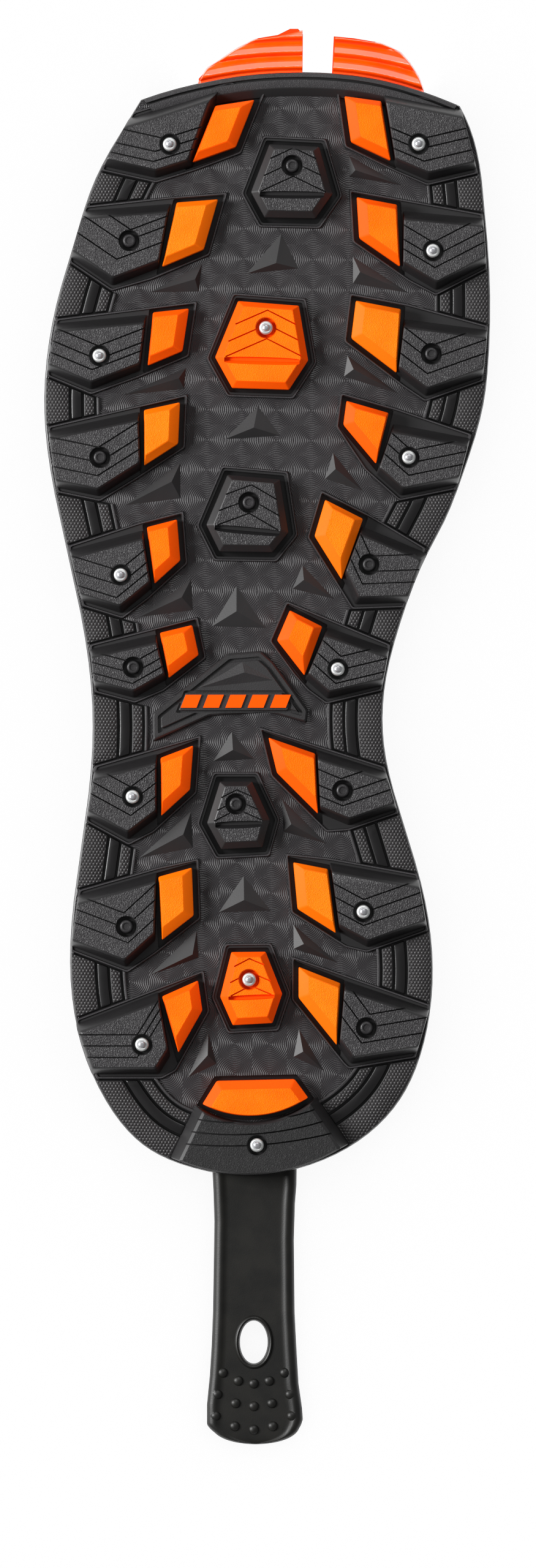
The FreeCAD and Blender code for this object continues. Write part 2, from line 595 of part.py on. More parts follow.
def make_strap(doc, sheet):
    """The rubber pull-strap in two lengths: the web by the heel, and the pull tab with its eyelet."""
    underside = "sizes.strap_level - sizes.strap_rise / 2"
    left = sheet.strap_left
    right = left + sheet.strap_span
    reach = sheet.strap_rise / 2 + sheet.bend_gap
    web = new_body(doc, "strap_web")
    sketch = new_sketch(web, "strap_web_outline", underside)
    near = sheet.root_axis
    far = sheet.curl_axis + reach
    draw_polygon(sketch, ((left, near), (right, near), (right, far), (left, far)))
    pad(web, sketch, "strap_web_blank", "sizes.strap_rise")
    add_round_end(web, "root_axis")
    tab = new_body(doc, "strap_pull_tab")
    sketch = new_sketch(tab, "strap_tab_outline", underside)
    axis = sheet.curl_axis
    tip = PULL_TAB_TIP
    outer = [(left, axis), *PULL_TAB]
    inner = [*PULL_TAB_BACK, (right, axis)]
    sides = list(zip(outer, outer[1:])) + [(outer[-1], tip, inner[0])] + list(zip(inner, inner[1:]))
    draw_arc_outline(sketch, sides + [(inner[-1], outer[0])])
    pad(tab, sketch, "strap_tab_blank", "sizes.strap_rise")
    add_round_end(tab, "curl_axis")
    sketch = new_sketch(tab, "eyelet_outline", underside)
    centre = Vector(sheet.eyelet_x, sheet.eyelet_y, 0)
    top = centre + Vector(0, sheet.eyelet_half_length, 0)
    side = centre + Vector(-sheet.eyelet_half_width, 0, 0)
    sketch.addGeometry(Part.Ellipse(top, side, centre), False)
    pocket(doc, tab, sketch, "eyelet_cut", "sizes.strap_rise", reverse=True)
    return web, tab


def check_document(doc, parts):
    """Stop on any failed object, and on any sub-part without a sound shape."""
    for item in doc.Objects:
        bad = {"Invalid", "Error"} & set(item.State)
        if bad:
            raise RuntimeError(f"{item.Name} is {sorted(bad)}")
    for part in parts:
        if part.Shape.isNull() or not part.Shape.isValid() or part.Shape.Volume <= 0:
            raise RuntimeError(f"{part.Label} has no sound shape")


def main():
    """Build every sub-part, check it and write it out."""
    os.makedirs("parts", exist_ok=True)
    doc = FreeCAD.newDocument("boot_outsole")
    sheet = make_sheet(doc)
    parts = [make_plate(doc, sheet), make_web(doc, sheet)]
    parts.extend(make_tread(doc))
    parts.extend(make_panel(doc))
    parts.extend(make_studs(doc))
    parts.extend(make_anchor(doc, sheet))
    parts.extend(make_strap(doc, sheet))
    doc.recompute()
    check_document(doc, parts)
    for part in parts:
        part.Shape.exportStep(f"parts/{part.Label}.step")
        box = part.Shape.BoundBox
        print(f"{part.Label:16s} {len(part.Shape.Solids):3d} solids {part.Shape.Volume:10.1f} mm3 "
              f"z {box.ZMin:.2f} to {box.ZMax:.2f}")


main()
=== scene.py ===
"""Looks of an interchangeable studded boot outsole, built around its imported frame.

+Y runs to the toe, +X to the inner side of the foot and +Z out of the tread. Sizes in this file are
millimetres, and a mesh is made in metres at the last step. Outlines come from the frame's own parts.
"""
import logging
from dataclasses import dataclass
from enum import Enum

import bpy
import numpy as np
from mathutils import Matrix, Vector
from mathutils.geometry import convex_hull_2d


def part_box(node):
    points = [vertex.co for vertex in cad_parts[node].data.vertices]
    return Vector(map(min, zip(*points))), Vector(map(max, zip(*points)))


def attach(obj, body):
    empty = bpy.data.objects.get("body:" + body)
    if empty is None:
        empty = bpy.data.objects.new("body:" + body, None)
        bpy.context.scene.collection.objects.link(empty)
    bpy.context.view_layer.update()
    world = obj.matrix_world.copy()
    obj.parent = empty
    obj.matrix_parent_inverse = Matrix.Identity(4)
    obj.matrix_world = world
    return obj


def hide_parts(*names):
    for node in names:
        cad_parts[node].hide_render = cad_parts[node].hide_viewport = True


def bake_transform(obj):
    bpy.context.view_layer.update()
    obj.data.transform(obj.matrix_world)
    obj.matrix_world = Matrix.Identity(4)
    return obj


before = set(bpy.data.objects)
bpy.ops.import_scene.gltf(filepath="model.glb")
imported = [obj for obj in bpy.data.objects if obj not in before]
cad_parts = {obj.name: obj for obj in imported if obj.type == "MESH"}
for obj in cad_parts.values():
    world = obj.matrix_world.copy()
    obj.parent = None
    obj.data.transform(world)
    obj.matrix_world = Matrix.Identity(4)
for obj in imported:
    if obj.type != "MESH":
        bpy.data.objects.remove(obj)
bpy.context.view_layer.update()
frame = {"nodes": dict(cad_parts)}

logging.basicConfig(level=logging.INFO, format="%(message)s")
log = logging.getLogger("outsole")

MM = 0.001

# Heights above the boot side of the sole.
PLATE_TOP = 4.5
MOAT_FLOOR = 7.4
FLOOR = 9.0
CHIP_TOP = 15.3
LUG_TOP = 15.5

# Stud wells, and how far a pad reaches past its lug to the heel and toe, its outer side, and its chip.
WELL_RADIUS = 2.9
WELL_DEPTH = 2.6
HEEL_REACH = 3.2
TOE_REACH = 3.8
SIDE_REACH = 0.3
CHIP_REACH = 2.0


class Side(Enum):
    """Which row of lugs a piece belongs to, and the way its outer side points along X."""

    LEFT = -1
    RIGHT = 1


class Cut(Enum):
    """What a cutter does to a piece."""

    AWAY = "DIFFERENCE"
    ADD = "UNION"
    KEEP = "INTERSECT"


@dataclass
class Shell:
    """A closed mesh in millimetres.

    Args:
        points: every corner, one to a row.
        faces: corner numbers of each face, in order round it.
    """

    points: np.ndarray
    faces: list[tuple[int, ...]]

    def volume(self) -> float:
        """Enclosed volume, negative when the faces point inwards.

        Returns:
            The volume, negative where the faces look inwards.
        """
        total = 0.0
        for size in {len(face) for face in self.faces}:
            rows = np.array([face for face in self.faces if len(face) == size])
            first = self.points[rows[:, 0]]
            for step in range(1, size - 1):
                second = self.points[rows[:, step]]
                third = self.points[rows[:, step + 1]]
                total += float(np.einsum("ij,ij->", first, np.cross(second, third))) / 6
        return total

    def outward(self) -> "Shell":
        """The same shell with its faces pointing out.

        Returns:
            The same shell, turned inside out if its faces looked inwards.
        """
        if self.volume() >= 0:
            return self
        return Shell(self.points, [face[::-1] for face in self.faces])


def joined(shells: list[Shell]) -> Shell:
    """Several shells as one mesh.

    Args:
        shells: the closed shells, in order.

    Returns:
        One shell that holds them all, unmerged.
    """
    starts = np.cumsum([0] + [len(shell.points) for shell in shells[:-1]])
    points = np.concatenate([shell.points for shell in shells])
    faces = []
    for start, shell in zip(starts.tolist(), shells):
        faces += [tuple(start + corner for corner in face) for face in shell.faces]
    return Shell(points, faces)


def lofted(rings: np.ndarray, closed_path: bool = False) -> Shell:
    """A skin over matching rings, closed by a flat cap at each end or joined end to end.

    The surface is S(i, j) = rings[i, j], where j runs round the ring and i along the piece.

    Args:
        rings: corner positions, shaped (rings, corners, 3).
        closed_path: True where the last ring meets the first again.

    Returns:
        The closed shell, facing outwards.
    """
    count, around = rings.shape[:2]
    spans = count if closed_path else count - 1
    row, column = np.meshgrid(np.arange(spans), np.arange(around), indexing="ij")
    ahead = (column + 1) % around
    upper = (row + 1) % count
    quads = np.stack(
        [row * around + column, row * around + ahead, upper * around + ahead, upper * around + column], -1
    )
    faces = [tuple(face) for face in quads.reshape(-1, 4).tolist()]
    if not closed_path:
        faces.append(tuple(range(around - 1, -1, -1)))
        faces.append(tuple(range((count - 1) * around, count * around)))
    return Shell(rings.reshape(-1, 3), faces).outward()


def unit(vectors: np.ndarray) -> np.ndarray:
    """Each row scaled to length one."""
    return vectors / np.maximum(np.linalg.norm(vectors, axis=-1, keepdims=True), 1e-9)


def edge_normals(corners: np.ndarray) -> np.ndarray:
    """Outward normal of each side of an anticlockwise outline."""
    along = unit(np.roll(corners, -1, axis=0) - corners)
    return np.stack([along[:, 1], -along[:, 0]], axis=1)


# Sine of the turn below which two sides count as one straight run when an outline grows.
STRAIGHT = 0.06


def grown(corners: np.ndarray, amounts: np.ndarray | float) -> np.ndarray:
    """An outline with each side moved outwards and met again at the corners.

    The new corner is where the two shifted sides cross; on a nearly straight run it moves along the
    mean normal instead.

    Args:
        corners: an anticlockwise outline, one corner to a row.
        amounts: how far each side moves out, or one number for all.

    Returns:
        The moved corners, in the same order.
    """
    amounts = np.broadcast_to(np.asarray(amounts, float), (len(corners),))
    after = edge_normals(corners)
    before = np.roll(after, 1, axis=0)
    shift = np.roll(amounts, 1)
    cross = before[:, 0] * after[:, 1] - before[:, 1] * after[:, 0]
    first = (corners * before).sum(1) + shift
    second = (corners * after).sum(1) + amounts
    flat = np.abs(cross) < STRAIGHT
    safe = np.where(flat, 1.0, cross)
    met = np.stack(
        [first * after[:, 1] - second * before[:, 1], before[:, 0] * second - after[:, 0] * first], axis=1
    )
    straight = corners + unit(before + after) * ((amounts + shift) / 2)[:, None]
    return np.where(flat[:, None], straight, met / safe[:, None])


def softened(corners: np.ndarray, radius: float, steps: int = 4) -> np.ndarray:
    """An outline with each corner rounded by a quadratic curve.

    B(t) = (1 - t)^2 a + 2 t (1 - t) c + t^2 b, where c is the corner and a, b lie beside it.

    Args:
        corners: the outline, one corner to a row.
        radius: how far from the corner the curve starts, less where a side is short.
        steps: points on each curve.

    Returns:
        The rounded outline, with steps points for each corner.
    """
    ahead = np.roll(corners, -1, axis=0) - corners
    length = np.linalg.norm(ahead, axis=1)
    reach = np.minimum(radius, 0.42 * np.minimum(length, np.roll(length, 1)))
    toward = unit(ahead)
    start = corners - np.roll(toward, 1, axis=0) * reach[:, None]
    end = corners + toward * reach[:, None]
    t = np.linspace(0, 1, steps)[None, :, None]
    curve = (1 - t) ** 2 * start[:, None] + 2 * t * (1 - t) * corners[:, None] + t**2 * end[:, None]
    return curve.reshape(-1, 2)


def lifted(outline: np.ndarray, level: float) -> np.ndarray:
    """A flat outline placed at one height."""
    return np.column_stack([outline, np.full(len(outline), level)])


Steps = list[tuple[float | np.ndarray, float]]


def block(corners: np.ndarray, steps: Steps, radius: float = 0.5) -> Shell:
    """A prism whose outline grows or shrinks with height.

    Args:
        corners: the anticlockwise outline that the growth is measured from.
        steps: (growth, height) pairs from the base to the top.
        radius: rounding of the upright corners.

    Returns:
        The closed shell.
    """
    rings = [lifted(softened(grown(corners, growth), radius), height) for growth, height in steps]
    return lofted(np.stack(rings))


def ribbon(line: np.ndarray, width: float, low: float, high: float) -> Shell:
    """An upright wall along an open line, as a cutter for a groove.

    Args:
        line: points of the line, one to a row.
        width: thickness of the wall.
        low: underside of the wall.
        high: top of the wall.

    Returns:
        The closed shell.
    """
    along = unit(np.gradient(line, axis=0))
    across = np.stack([-along[:, 1], along[:, 0]], axis=1) * width / 2
    left = line + across
    right = line - across
    ends = [lifted(left, low), lifted(right, low), lifted(right, high), lifted(left, high)]
    return lofted(np.stack(ends, axis=1))


def turned(profile: np.ndarray, centres: np.ndarray, around: int = 40) -> Shell:
    """Round solids on upright axes: P(i, a) = (r_i cos a, r_i sin a, z_i) moved to each centre.

    Args:
        profile: (radius, height) rows from the base to the top.
        centres: axis positions, one to a row.
        around: points on each circle.

    Returns:
        One shell that holds a closed solid for each centre.
    """
    angle = np.linspace(0, 2 * np.pi, around, endpoint=False)
    rings = np.stack(
        [
            profile[:, :1] * np.cos(angle),
            profile[:, :1] * np.sin(angle),
            np.broadcast_to(profile[:, 1:], (len(profile), around)),
        ],
        axis=-1,
    )
    return joined([lofted(rings + np.array([x, y, 0.0])) for x, y in centres])


def face_loops(node: str, level: float) -> list[np.ndarray]:
    """Outlines of a frame part's flat faces at one height.

    Args:
        node: the part's name.
        level: height of the flat face.

    Returns:
        Anticlockwise outlines without straight-run points, the largest first.
    """
    mesh = frame["nodes"][node].data
    mesh.calc_loop_triangles()
    points = np.empty(len(mesh.vertices) * 3)
    mesh.vertices.foreach_get("co", points)
    corners, number = np.unique(np.round(points.reshape(-1, 3) / MM, 2), axis=0, return_inverse=True)
    triangles = np.empty(len(mesh.loop_triangles) * 3, int)
    mesh.loop_triangles.foreach_get("vertices", triangles)
    triangles = number.reshape(-1)[triangles].reshape(-1, 3)
    flat = (np.abs(corners[triangles][:, :, 2] - level) < 0.03).all(axis=1)
    sides = np.concatenate([triangles[flat][:, pair] for pair in ([0, 1], [1, 2], [2, 0])])
    known = {tuple(side) for side in sides.tolist()}
    following = {a: b for a, b in known if (b, a) not in known and a != b}
    loops = []
    while following:
        start, here = following.popitem()
        walk = [start]
        while here != start and here in following:
            walk.append(here)
            here = following.pop(here)
        loops.append(straightened(corners[walk][:, :2]))
    loops = [loop for loop in loops if len(loop) > 2]
    return sorted(loops, key=lambda loop: -abs(area(loop)))


def area(outline: np.ndarray) -> float:
    """Signed area of a flat outline, positive when it runs anticlockwise."""
    ahead = np.roll(outline, -1, axis=0)
    return float((outline[:, 0] * ahead[:, 1] - outline[:, 1] * ahead[:, 0]).sum() / 2)


def straightened(outline: np.ndarray, least_turn: float = 0.02) -> np.ndarray:
    """An outline without the points on its straight runs, anticlockwise.

    Args:
        outline: the closed outline, one corner to a row.
        least_turn: sine of the smallest turn that is kept.

    Returns:
        The corners that are left.
    """
    back = unit(outline - np.roll(outline, 1, axis=0))
    ahead = unit(np.roll(outline, -1, axis=0) - outline)
    turn = np.abs(back[:, 0] * ahead[:, 1] - back[:, 1] * ahead[:, 0])
    kept = outline[turn > least_turn]
    return kept if area(kept) > 0 else kept[::-1]


def resampled(outline: np.ndarray, count: int) -> np.ndarray:
    """A closed outline with evenly spaced points.

    Args:
        outline: the closed outline, one corner to a row.
        count: how many points it gets.

    Returns:
        The points, from the first corner on.
    """
    ring = np.vstack([outline, outline[:1]])
    run = np.concatenate([[0], np.cumsum(np.linalg.norm(np.diff(ring, axis=0), axis=1))])
    at = np.linspace(0, run[-1], count, endpoint=False)
    return np.stack([np.interp(at, run, ring[:, 0]), np.interp(at, run, ring[:, 1])], axis=1)


# ---------------------------------------------------------------- finishes


def linear(hex_colour: str) -> tuple[float, float, float, float]:
    """Turn an sRGB colour into the linear values that a shader takes.

    Args:
        hex_colour: the colour as #RRGGBB.

    Returns:
        Red, green, blue and an alpha of one.
    """
    values = np.array([int(hex_colour[i : i + 2], 16) for i in (1, 3, 5)]) / 255
    curve = np.where(values <= 0.04045, values / 12.92, ((values + 0.055) / 1.055) ** 2.4)
    return (*map(float, curve), 1.0)


def add_node(tree: bpy.types.NodeTree, kind: str, links: dict | None = None, **settings) -> bpy.types.Node:
    """Add a shader node with its settings and links.

    Args:
        tree: the node tree.
        kind: the node's type name.
        links: input name or number to an output socket or a value.
        settings: properties of the node.

    Returns:
        The new node.
    """
    node = tree.nodes.new(kind)
    for name, value in settings.items():
        setattr(node, name, value)
    for name, value in (links or {}).items():
        if isinstance(value, bpy.types.NodeSocket):
            tree.links.new(value, node.inputs[name])
        else:
            node.inputs[name].default_value = value
    return node


MOULD_GRAIN = 0.33
VECTOR_MATH = "ShaderNodeVectorMath"
HALF = (0.5, 0.5, 0.5)


@dataclass(frozen=True)
class Finish:
    """A moulded or metal surface with fine relief.

    Args:
        name: name of the material.
        colour: main sRGB colour.
        shade: second sRGB colour, which the first drifts towards in soft patches.
        roughness: of the surface itself.
        metallic: 1 for a metal.
        coat: weight of a clear gloss on top.
        subsurface: how much light goes into the material.
        specular: level of the plain reflection, 0.5 for the material's own IOR.
        relief: depth of the fine relief in millimetres.
        patch: size of the colour's soft patches in millimetres.
        wall: sRGB colour off the running faces, where it differs: painted light and shade on walls and in
            gaps.
    """

    name: str
    colour: str
    shade: str
    roughness: float = 0.5
    metallic: float = 0.0
    coat: float = 0.0
    subsurface: float = 0.0
    specular: float = 0.5
    relief: float = 0.05
    patch: float = 9.0
    wall: str = ""

    def height(self, tree: bpy.types.NodeTree, place: bpy.types.NodeSocket) -> bpy.types.NodeSocket:
        """Fine relief: here a faint mould grain of about a third of a millimetre.

        Args:
            tree: the material's node tree.
            place: the object coordinates.

        Returns:
            The height, from 0 to 1.
        """
        grain = {"Vector": place, "Scale": 1 / (MOULD_GRAIN * MM), "Detail": 2.0}
        return add_node(tree, "ShaderNodeTexNoise", grain).outputs["Fac"]

    def strength(self, tree: bpy.types.NodeTree) -> bpy.types.NodeSocket | float:
        """Where the relief and the main colours show, rather than the painted wall shading: 1 all over,
        unless a finish masks it.
        """
        return 1.0

    def material(self) -> bpy.types.Material:
        """Build the material, once for each finish.

        Returns:
            The material.
        """
        made = bpy.data.materials.get(self.name)
        if made:
            return made
        made = bpy.data.materials.new(self.name)
        made.use_nodes = True
        tree = made.node_tree
        shader = tree.nodes["Principled BSDF"]
        place = add_node(tree, "ShaderNodeTexCoord").outputs["Object"]
        scale = 1 / (self.patch * MM)
        patches = add_node(tree, "ShaderNodeTexNoise", {"Vector": place, "Scale": scale, "Detail": 3.0})
        spread = add_node(
            tree, "ShaderNodeMapRange", {"Value": patches.outputs["Fac"], "From Min": 0.35, "From Max": 0.65}
        )
        colours = {0: spread.outputs["Result"], 6: linear(self.colour), 7: linear(self.shade)}
        mixed = add_node(tree, "ShaderNodeMix", colours, data_type="RGBA")
        shown = self.strength(tree)
        # Painted light and shade: off the running faces the colour is the wall colour, darker as painted
        # shade on most finishes and lighter as painted light on the heel lug.
        if self.wall:
            colours = {0: shown, 6: linear(self.wall), 7: mixed.outputs[2]}
            mixed = add_node(tree, "ShaderNodeMix", colours, data_type="RGBA")
        tree.links.new(mixed.outputs[2], shader.inputs["Base Color"])
        shader.inputs["Roughness"].default_value = self.roughness
        shader.inputs["Metallic"].default_value = self.metallic
        shader.inputs["Specular IOR Level"].default_value = self.specular
        shader.inputs["Coat Weight"].default_value = self.coat
        shader.inputs["Coat Roughness"].default_value = 0.08
        if self.subsurface:
            shader.inputs["Subsurface Weight"].default_value = self.subsurface
            shader.inputs["Subsurface Radius"].default_value = (1.0, 0.35, 0.1)
            shader.inputs["Subsurface Scale"].default_value = 1.5 * MM
        relief = {"Height": self.height(tree, place), "Distance": self.relief * MM, "Strength": shown}
        tree.links.new(add_node(tree, "ShaderNodeBump", relief).outputs["Normal"], shader.inputs["Normal"])
        return made


@dataclass(frozen=True)
class RunningFaceFinish(Finish):
    """A surface whose relief and main colours show only on the faces marked as running faces; elsewhere it
    takes any wall colour, painted light and shade.
    """

    def strength(self, tree: bpy.types.NodeTree) -> bpy.types.NodeSocket:
        """The mark that mark_running_faces gives a mesh."""
        return add_node(tree, "ShaderNodeAttribute", attribute_name="running_face").outputs["Fac"]


@dataclass(frozen=True)
class PebbledFinish(RunningFaceFinish):
    """Moulded rubber whose running faces have a leather-like pebble, and whose walls are smooth.

    Args:
        pebble: width of a pebble in millimetres.
        bend: how far noise moves the pebbles' edges, and the size of that noise.
    """

    pebble: float = 0.6
    bend: tuple[float, float] = (0.7, 0.8)

    def height(self, tree: bpy.types.NodeTree, place: bpy.types.NodeSocket) -> bpy.types.NodeSocket:
        """Rounded cells about one pebble across and longer than wide, bent by noise so that all differ.

        Args:
            tree: the material's node tree.
            place: the object coordinates.

        Returns:
            The height, from 0 to 1.
        """
        amount, size = self.bend
        waves = {"Vector": place, "Scale": 1 / (size * MM), "Detail": 2.0}
        noise = add_node(tree, "ShaderNodeTexNoise", waves)
        shift = (amount * MM,) * 3
        moved = add_node(tree, VECTOR_MATH, {0: noise.outputs["Color"], 1: shift}, operation="MULTIPLY")
        bent = add_node(tree, VECTOR_MATH, {0: place, 1: moved.outputs[0]}, operation="ADD")
        cell = (self.pebble * MM, self.pebble * 1.5 * MM, self.pebble * MM)
        scaled = add_node(tree, VECTOR_MATH, {0: bent.outputs[0], 1: cell}, operation="DIVIDE")
        where = {"Vector": scaled.outputs[0], "Scale": 1.0}
        cells = add_node(tree, "ShaderNodeTexVoronoi", where, feature="DISTANCE_TO_EDGE")
        dome = {"Value": cells.outputs["Distance"], "From Max": 0.28}
        return add_node(tree, "ShaderNodeMapRange", dome).outputs["Result"]


@dataclass(frozen=True)
class TurnedFinish(RunningFaceFinish):
    """Rubber from a mould whose floor was engine-turned: rings about a grid of centres.

    Args:
        pitch: distances between centres across and along the sole.
        origin: one of the centres.
        turn: how far the grid is turned, in radians.
        ring: distance from ring to ring.
    """

    pitch: tuple[float, float] = (9.63, 8.386)
    origin: tuple[float, float] = (-6.9, 90.8)
    turn: float = -0.0114
    ring: float = 0.5

    def height(self, tree: bpy.types.NodeTree, place: bpy.types.NodeSocket) -> bpy.types.NodeSocket:
        """Height = cosine of the distance to the nearest centre, one wave to a ring.

        The real rings are 0.42 mm apart, and are drawn a little coarser so that they show.

        Args:
            tree: the material's node tree.
            place: the object coordinates.

        Returns:
            The height, from 0 to 1.
        """
        cell = add_node(
            tree,
            "ShaderNodeMapping",
            {
                "Vector": place,
                "Location": (self.origin[0] * MM, self.origin[1] * MM, 0.0),
                "Rotation": (0.0, 0.0, self.turn),
                "Scale": (self.pitch[0] * MM, self.pitch[1] * MM, 1.0),
            },
            vector_type="TEXTURE",
        )
        shifted = add_node(tree, VECTOR_MATH, {0: cell.outputs[0], 1: HALF}, operation="ADD")
        part = add_node(tree, VECTOR_MATH, {0: shifted.outputs[0]}, operation="FRACTION")
        middle = add_node(tree, VECTOR_MATH, {0: part.outputs[0], 1: HALF}, operation="SUBTRACT")
        size = (*self.pitch, 0.0)
        real = add_node(tree, VECTOR_MATH, {0: middle.outputs[0], 1: size}, operation="MULTIPLY")
        reach = add_node(tree, VECTOR_MATH, {0: real.outputs[0]}, operation="LENGTH").outputs["Value"]
        phase = add_node(tree, "ShaderNodeMath", {0: reach, 1: 2 * np.pi / self.ring}, operation="MULTIPLY")
        wave = add_node(tree, "ShaderNodeMath", {0: phase.outputs[0]}, operation="COSINE")
        height = add_node(tree, "ShaderNodeMapRange", {"Value": wave.outputs[0], "From Min": -1.0})
        return height.outputs["Result"]


@dataclass(frozen=True)
class DottedFinish(RunningFaceFinish):
    """Rubber with close-packed round dots, as on the rim.

    Args:
        pitch: distance between dots in a row.
    """

    pitch: float = 0.95

    def height(self, tree: bpy.types.NodeTree, place: bpy.types.NodeSocket) -> bpy.types.NodeSocket:
        """Domes on two interleaved grids: height falls with the distance to the nearest centre.

        Args:
            tree: the material's node tree.
            place: the object coordinates.

        Returns:
            The height, from 0 to 1.
        """
        tall = float(np.sqrt(3))
        reaches = []
        for shift in (0.0, 0.5):
            size = (self.pitch * MM, self.pitch * tall * MM, 1.0)
            cell = add_node(tree, VECTOR_MATH, {0: place, 1: size}, operation="DIVIDE")
            moved = add_node(tree, VECTOR_MATH, {0: cell.outputs[0], 1: (shift, shift, 0.0)}, operation="ADD")
            part = add_node(tree, VECTOR_MATH, {0: moved.outputs[0]}, operation="FRACTION")
            middle = add_node(tree, VECTOR_MATH, {0: part.outputs[0], 1: HALF}, operation="SUBTRACT")
            scale = (1.0, tall, 0.0)
            real = add_node(tree, VECTOR_MATH, {0: middle.outputs[0], 1: scale}, operation="MULTIPLY")
            reach = add_node(tree, VECTOR_MATH, {0: real.outputs[0]}, operation="LENGTH")
            reaches.append(reach.outputs["Value"])
        nearest = add_node(tree, "ShaderNodeMath", {0: reaches[0], 1: reaches[1]}, operation="MINIMUM")
        fall = {"Value": nearest.outputs[0], "From Min": 0.15, "From Max": 0.5, "To Min": 1.0, "To Max": 0.0}
        return add_node(tree, "ShaderNodeMapRange", fall, interpolation_type="SMOOTHSTEP").outputs["Result"]


# Natural rubber with carbon black, compression moulded: dark grey and satin where the mould was pebbled, and
# smoother on its walls, which are painted darker as painted shade.
LUG_RUBBER = PebbledFinish(
    "pebbled_lug_rubber", "#211F21", "#272527", roughness=0.45, relief=0.06, pebble=0.42, wall="#191819"
)
# The same rubber from a finer part of the mould: an even, nearly smooth grain. The bumper's walls are painted
# darker, as painted shade.
BUMPER_RUBBER = PebbledFinish(
    "fine_grained_bumper_rubber", "#232123", "#292729", roughness=0.5, relief=0.03, pebble=0.4, wall="#161516"
)
# The heel lug's walls are painted lighter than its dark top, as painted light on its sloping walls.
HEEL_RUBBER = PebbledFinish(
    "fine_grained_heel_rubber", "#0D0C0D", "#121112", roughness=0.52, relief=0.03, pebble=0.4, wall="#1F1E1F"
)
# The pads' and ridges' running faces, their narrow lips and tops, are painted lighter as a painted highlight,
# and their recessed flats and walls darker as painted shade.
PAD_RUBBER = PebbledFinish(
    "lipped_pad_rubber", "#302E30", "#363436", roughness=0.45, relief=0.02, pebble=0.4, wall="#1B1A1B"
)
# The mould's floor was engine-turned, so rings glint in wedges about each centre; its gaps and walls are
# painted near black, as painted shade.
FLOOR_RUBBER = TurnedFinish(
    "engine_turned_rubber", "#222022", "#282628", roughness=0.36, relief=0.06, wall="#080708"
)
# Flat facets with no grain, which take one even shade each.
POINT_RUBBER = Finish("smooth_floor_point_rubber", "#181718", "#1D1C1D", roughness=0.5, relief=0.01)
# Small round dots that catch the light on one side; the walls are painted darker, as painted shade.
RIM_RUBBER = DottedFinish(
    "dotted_rim_rubber", "#232122", "#292728", roughness=0.45, relief=0.15, wall="#161516"
)
PLAIN_RUBBER = Finish("plain_moulded_rubber", "#1E1D1E", "#242224", roughness=0.42)
# A polished patch of the mould: black, with a clear highlight.
GLOSS_RUBBER = Finish("polished_mould_rubber", "#0F0E0F", "#131213", roughness=0.3, relief=0.01)
# Soft pull-strap rubber: near black with a warm, slightly cloudy bloom.
STRAP_RUBBER = Finish(
    "satin_strap_rubber", "#0C0C0A", "#171613", roughness=0.46, specular=0.42, relief=0.02, patch=6.0
)
# Thermoplastic polyurethane, injection moulded, orange all through. Its pebbled running faces are painted
# paler, as a painted highlight, and its smooth walls deeper, as painted shade.
ORANGE_COMPOUND = PebbledFinish(
    "pebbled_orange_compound", "#FF6A00", "#FF7404", roughness=0.55, relief=0.05, pebble=0.38,
    subsurface=0.05, specular=0.08, wall="#FB5500",
)
# A yellower, browner copy of the same, painted on some chips as painted shade; its walls are painted deeper,
# as painted shade too.
SHADED_GOLDEN_COMPOUND = PebbledFinish(
    "pebbled_golden_compound", "#F47502", "#F9800A", roughness=0.55, relief=0.055, pebble=0.38,
    subsurface=0.05, specular=0.1, wall="#F06A00",
)
# Nylon from a polished mould: red-orange with pale, wet-looking bands where it turns to the light.
TAB_PLASTIC = Finish(
    "glossy_orange_plastic", "#F83A00", "#FA4400", roughness=0.3, coat=0.7, subsurface=0.1, specular=0.1,
    relief=0.004,
)
# The panel's mould was lightly etched: matt, with a soft grain.
PANEL_PLASTIC = Finish("grained_panel_plastic", "#201F20", "#262526", roughness=0.5, relief=0.06)
# Turned steel with a zinc coat: pale grey and satin. The tip is pressed and sintered, and a little darker.
STUD_STEEL = Finish(
    "zinc_plated_steel", "#D6D8D8", "#E2E3E2", roughness=0.55, metallic=1.0, relief=0.01, patch=2.0
)
TIP_CARBIDE = Finish(
    "sintered_carbide", "#C2C2C6", "#CDCDD1", roughness=0.4, metallic=1.0, relief=0.02, patch=1.0
)
# The ground: nearly white and dull.
PALE_FLOOR = Finish("pale_floor", "#F4F4F4", "#F6F6F6", roughness=0.8)


# ---------------------------------------------------------------- pieces


def new_mesh(name: str, shell: Shell) -> bpy.types.Object:
    """An object at the origin that holds a shell in metres.

    Args:
        name: name of the piece.
        shell: its closed mesh in millimetres.

    Returns:
        The object, linked to the scene.
    """
    mesh = bpy.data.meshes.new(name)
    mesh.from_pydata((shell.points * MM).tolist(), [], shell.faces)
    mesh.update()
    made = bpy.data.objects.new(name, mesh)
    bpy.context.scene.collection.objects.link(made)
    return made


def carved(piece: bpy.types.Object, cutter: Shell, cut: Cut = Cut.AWAY) -> bpy.types.Object:
    """Cut a closed shell out of a piece, or add it, and keep the result as the piece's mesh.

    Args:
        piece: the object to change.
        cutter: the closed shell.
        cut: whether the shell is taken away or added.

    Returns:
        The same object with its new mesh.
    """
    tool = new_mesh("tool", cutter)
    step = piece.modifiers.new("cut", "BOOLEAN")
    step.operation = cut.value
    step.object = tool
    for solver in ("MANIFOLD", "EXACT"):
        step.solver = solver
        graph = bpy.context.evaluated_depsgraph_get()
        mesh = bpy.data.meshes.new_from_object(piece.evaluated_get(graph))
        if len(mesh.polygons) > 3:
            break
        log.info("%s: the %s solver left nothing", piece.name, solver)
    else:
        raise RuntimeError(f"{piece.name} vanished in a cut")
    piece.modifiers.clear()
    old = piece.data
    mesh.name = old.name
    piece.data = mesh
    bpy.data.meshes.remove(old)
    bpy.data.objects.remove(tool)
    return piece


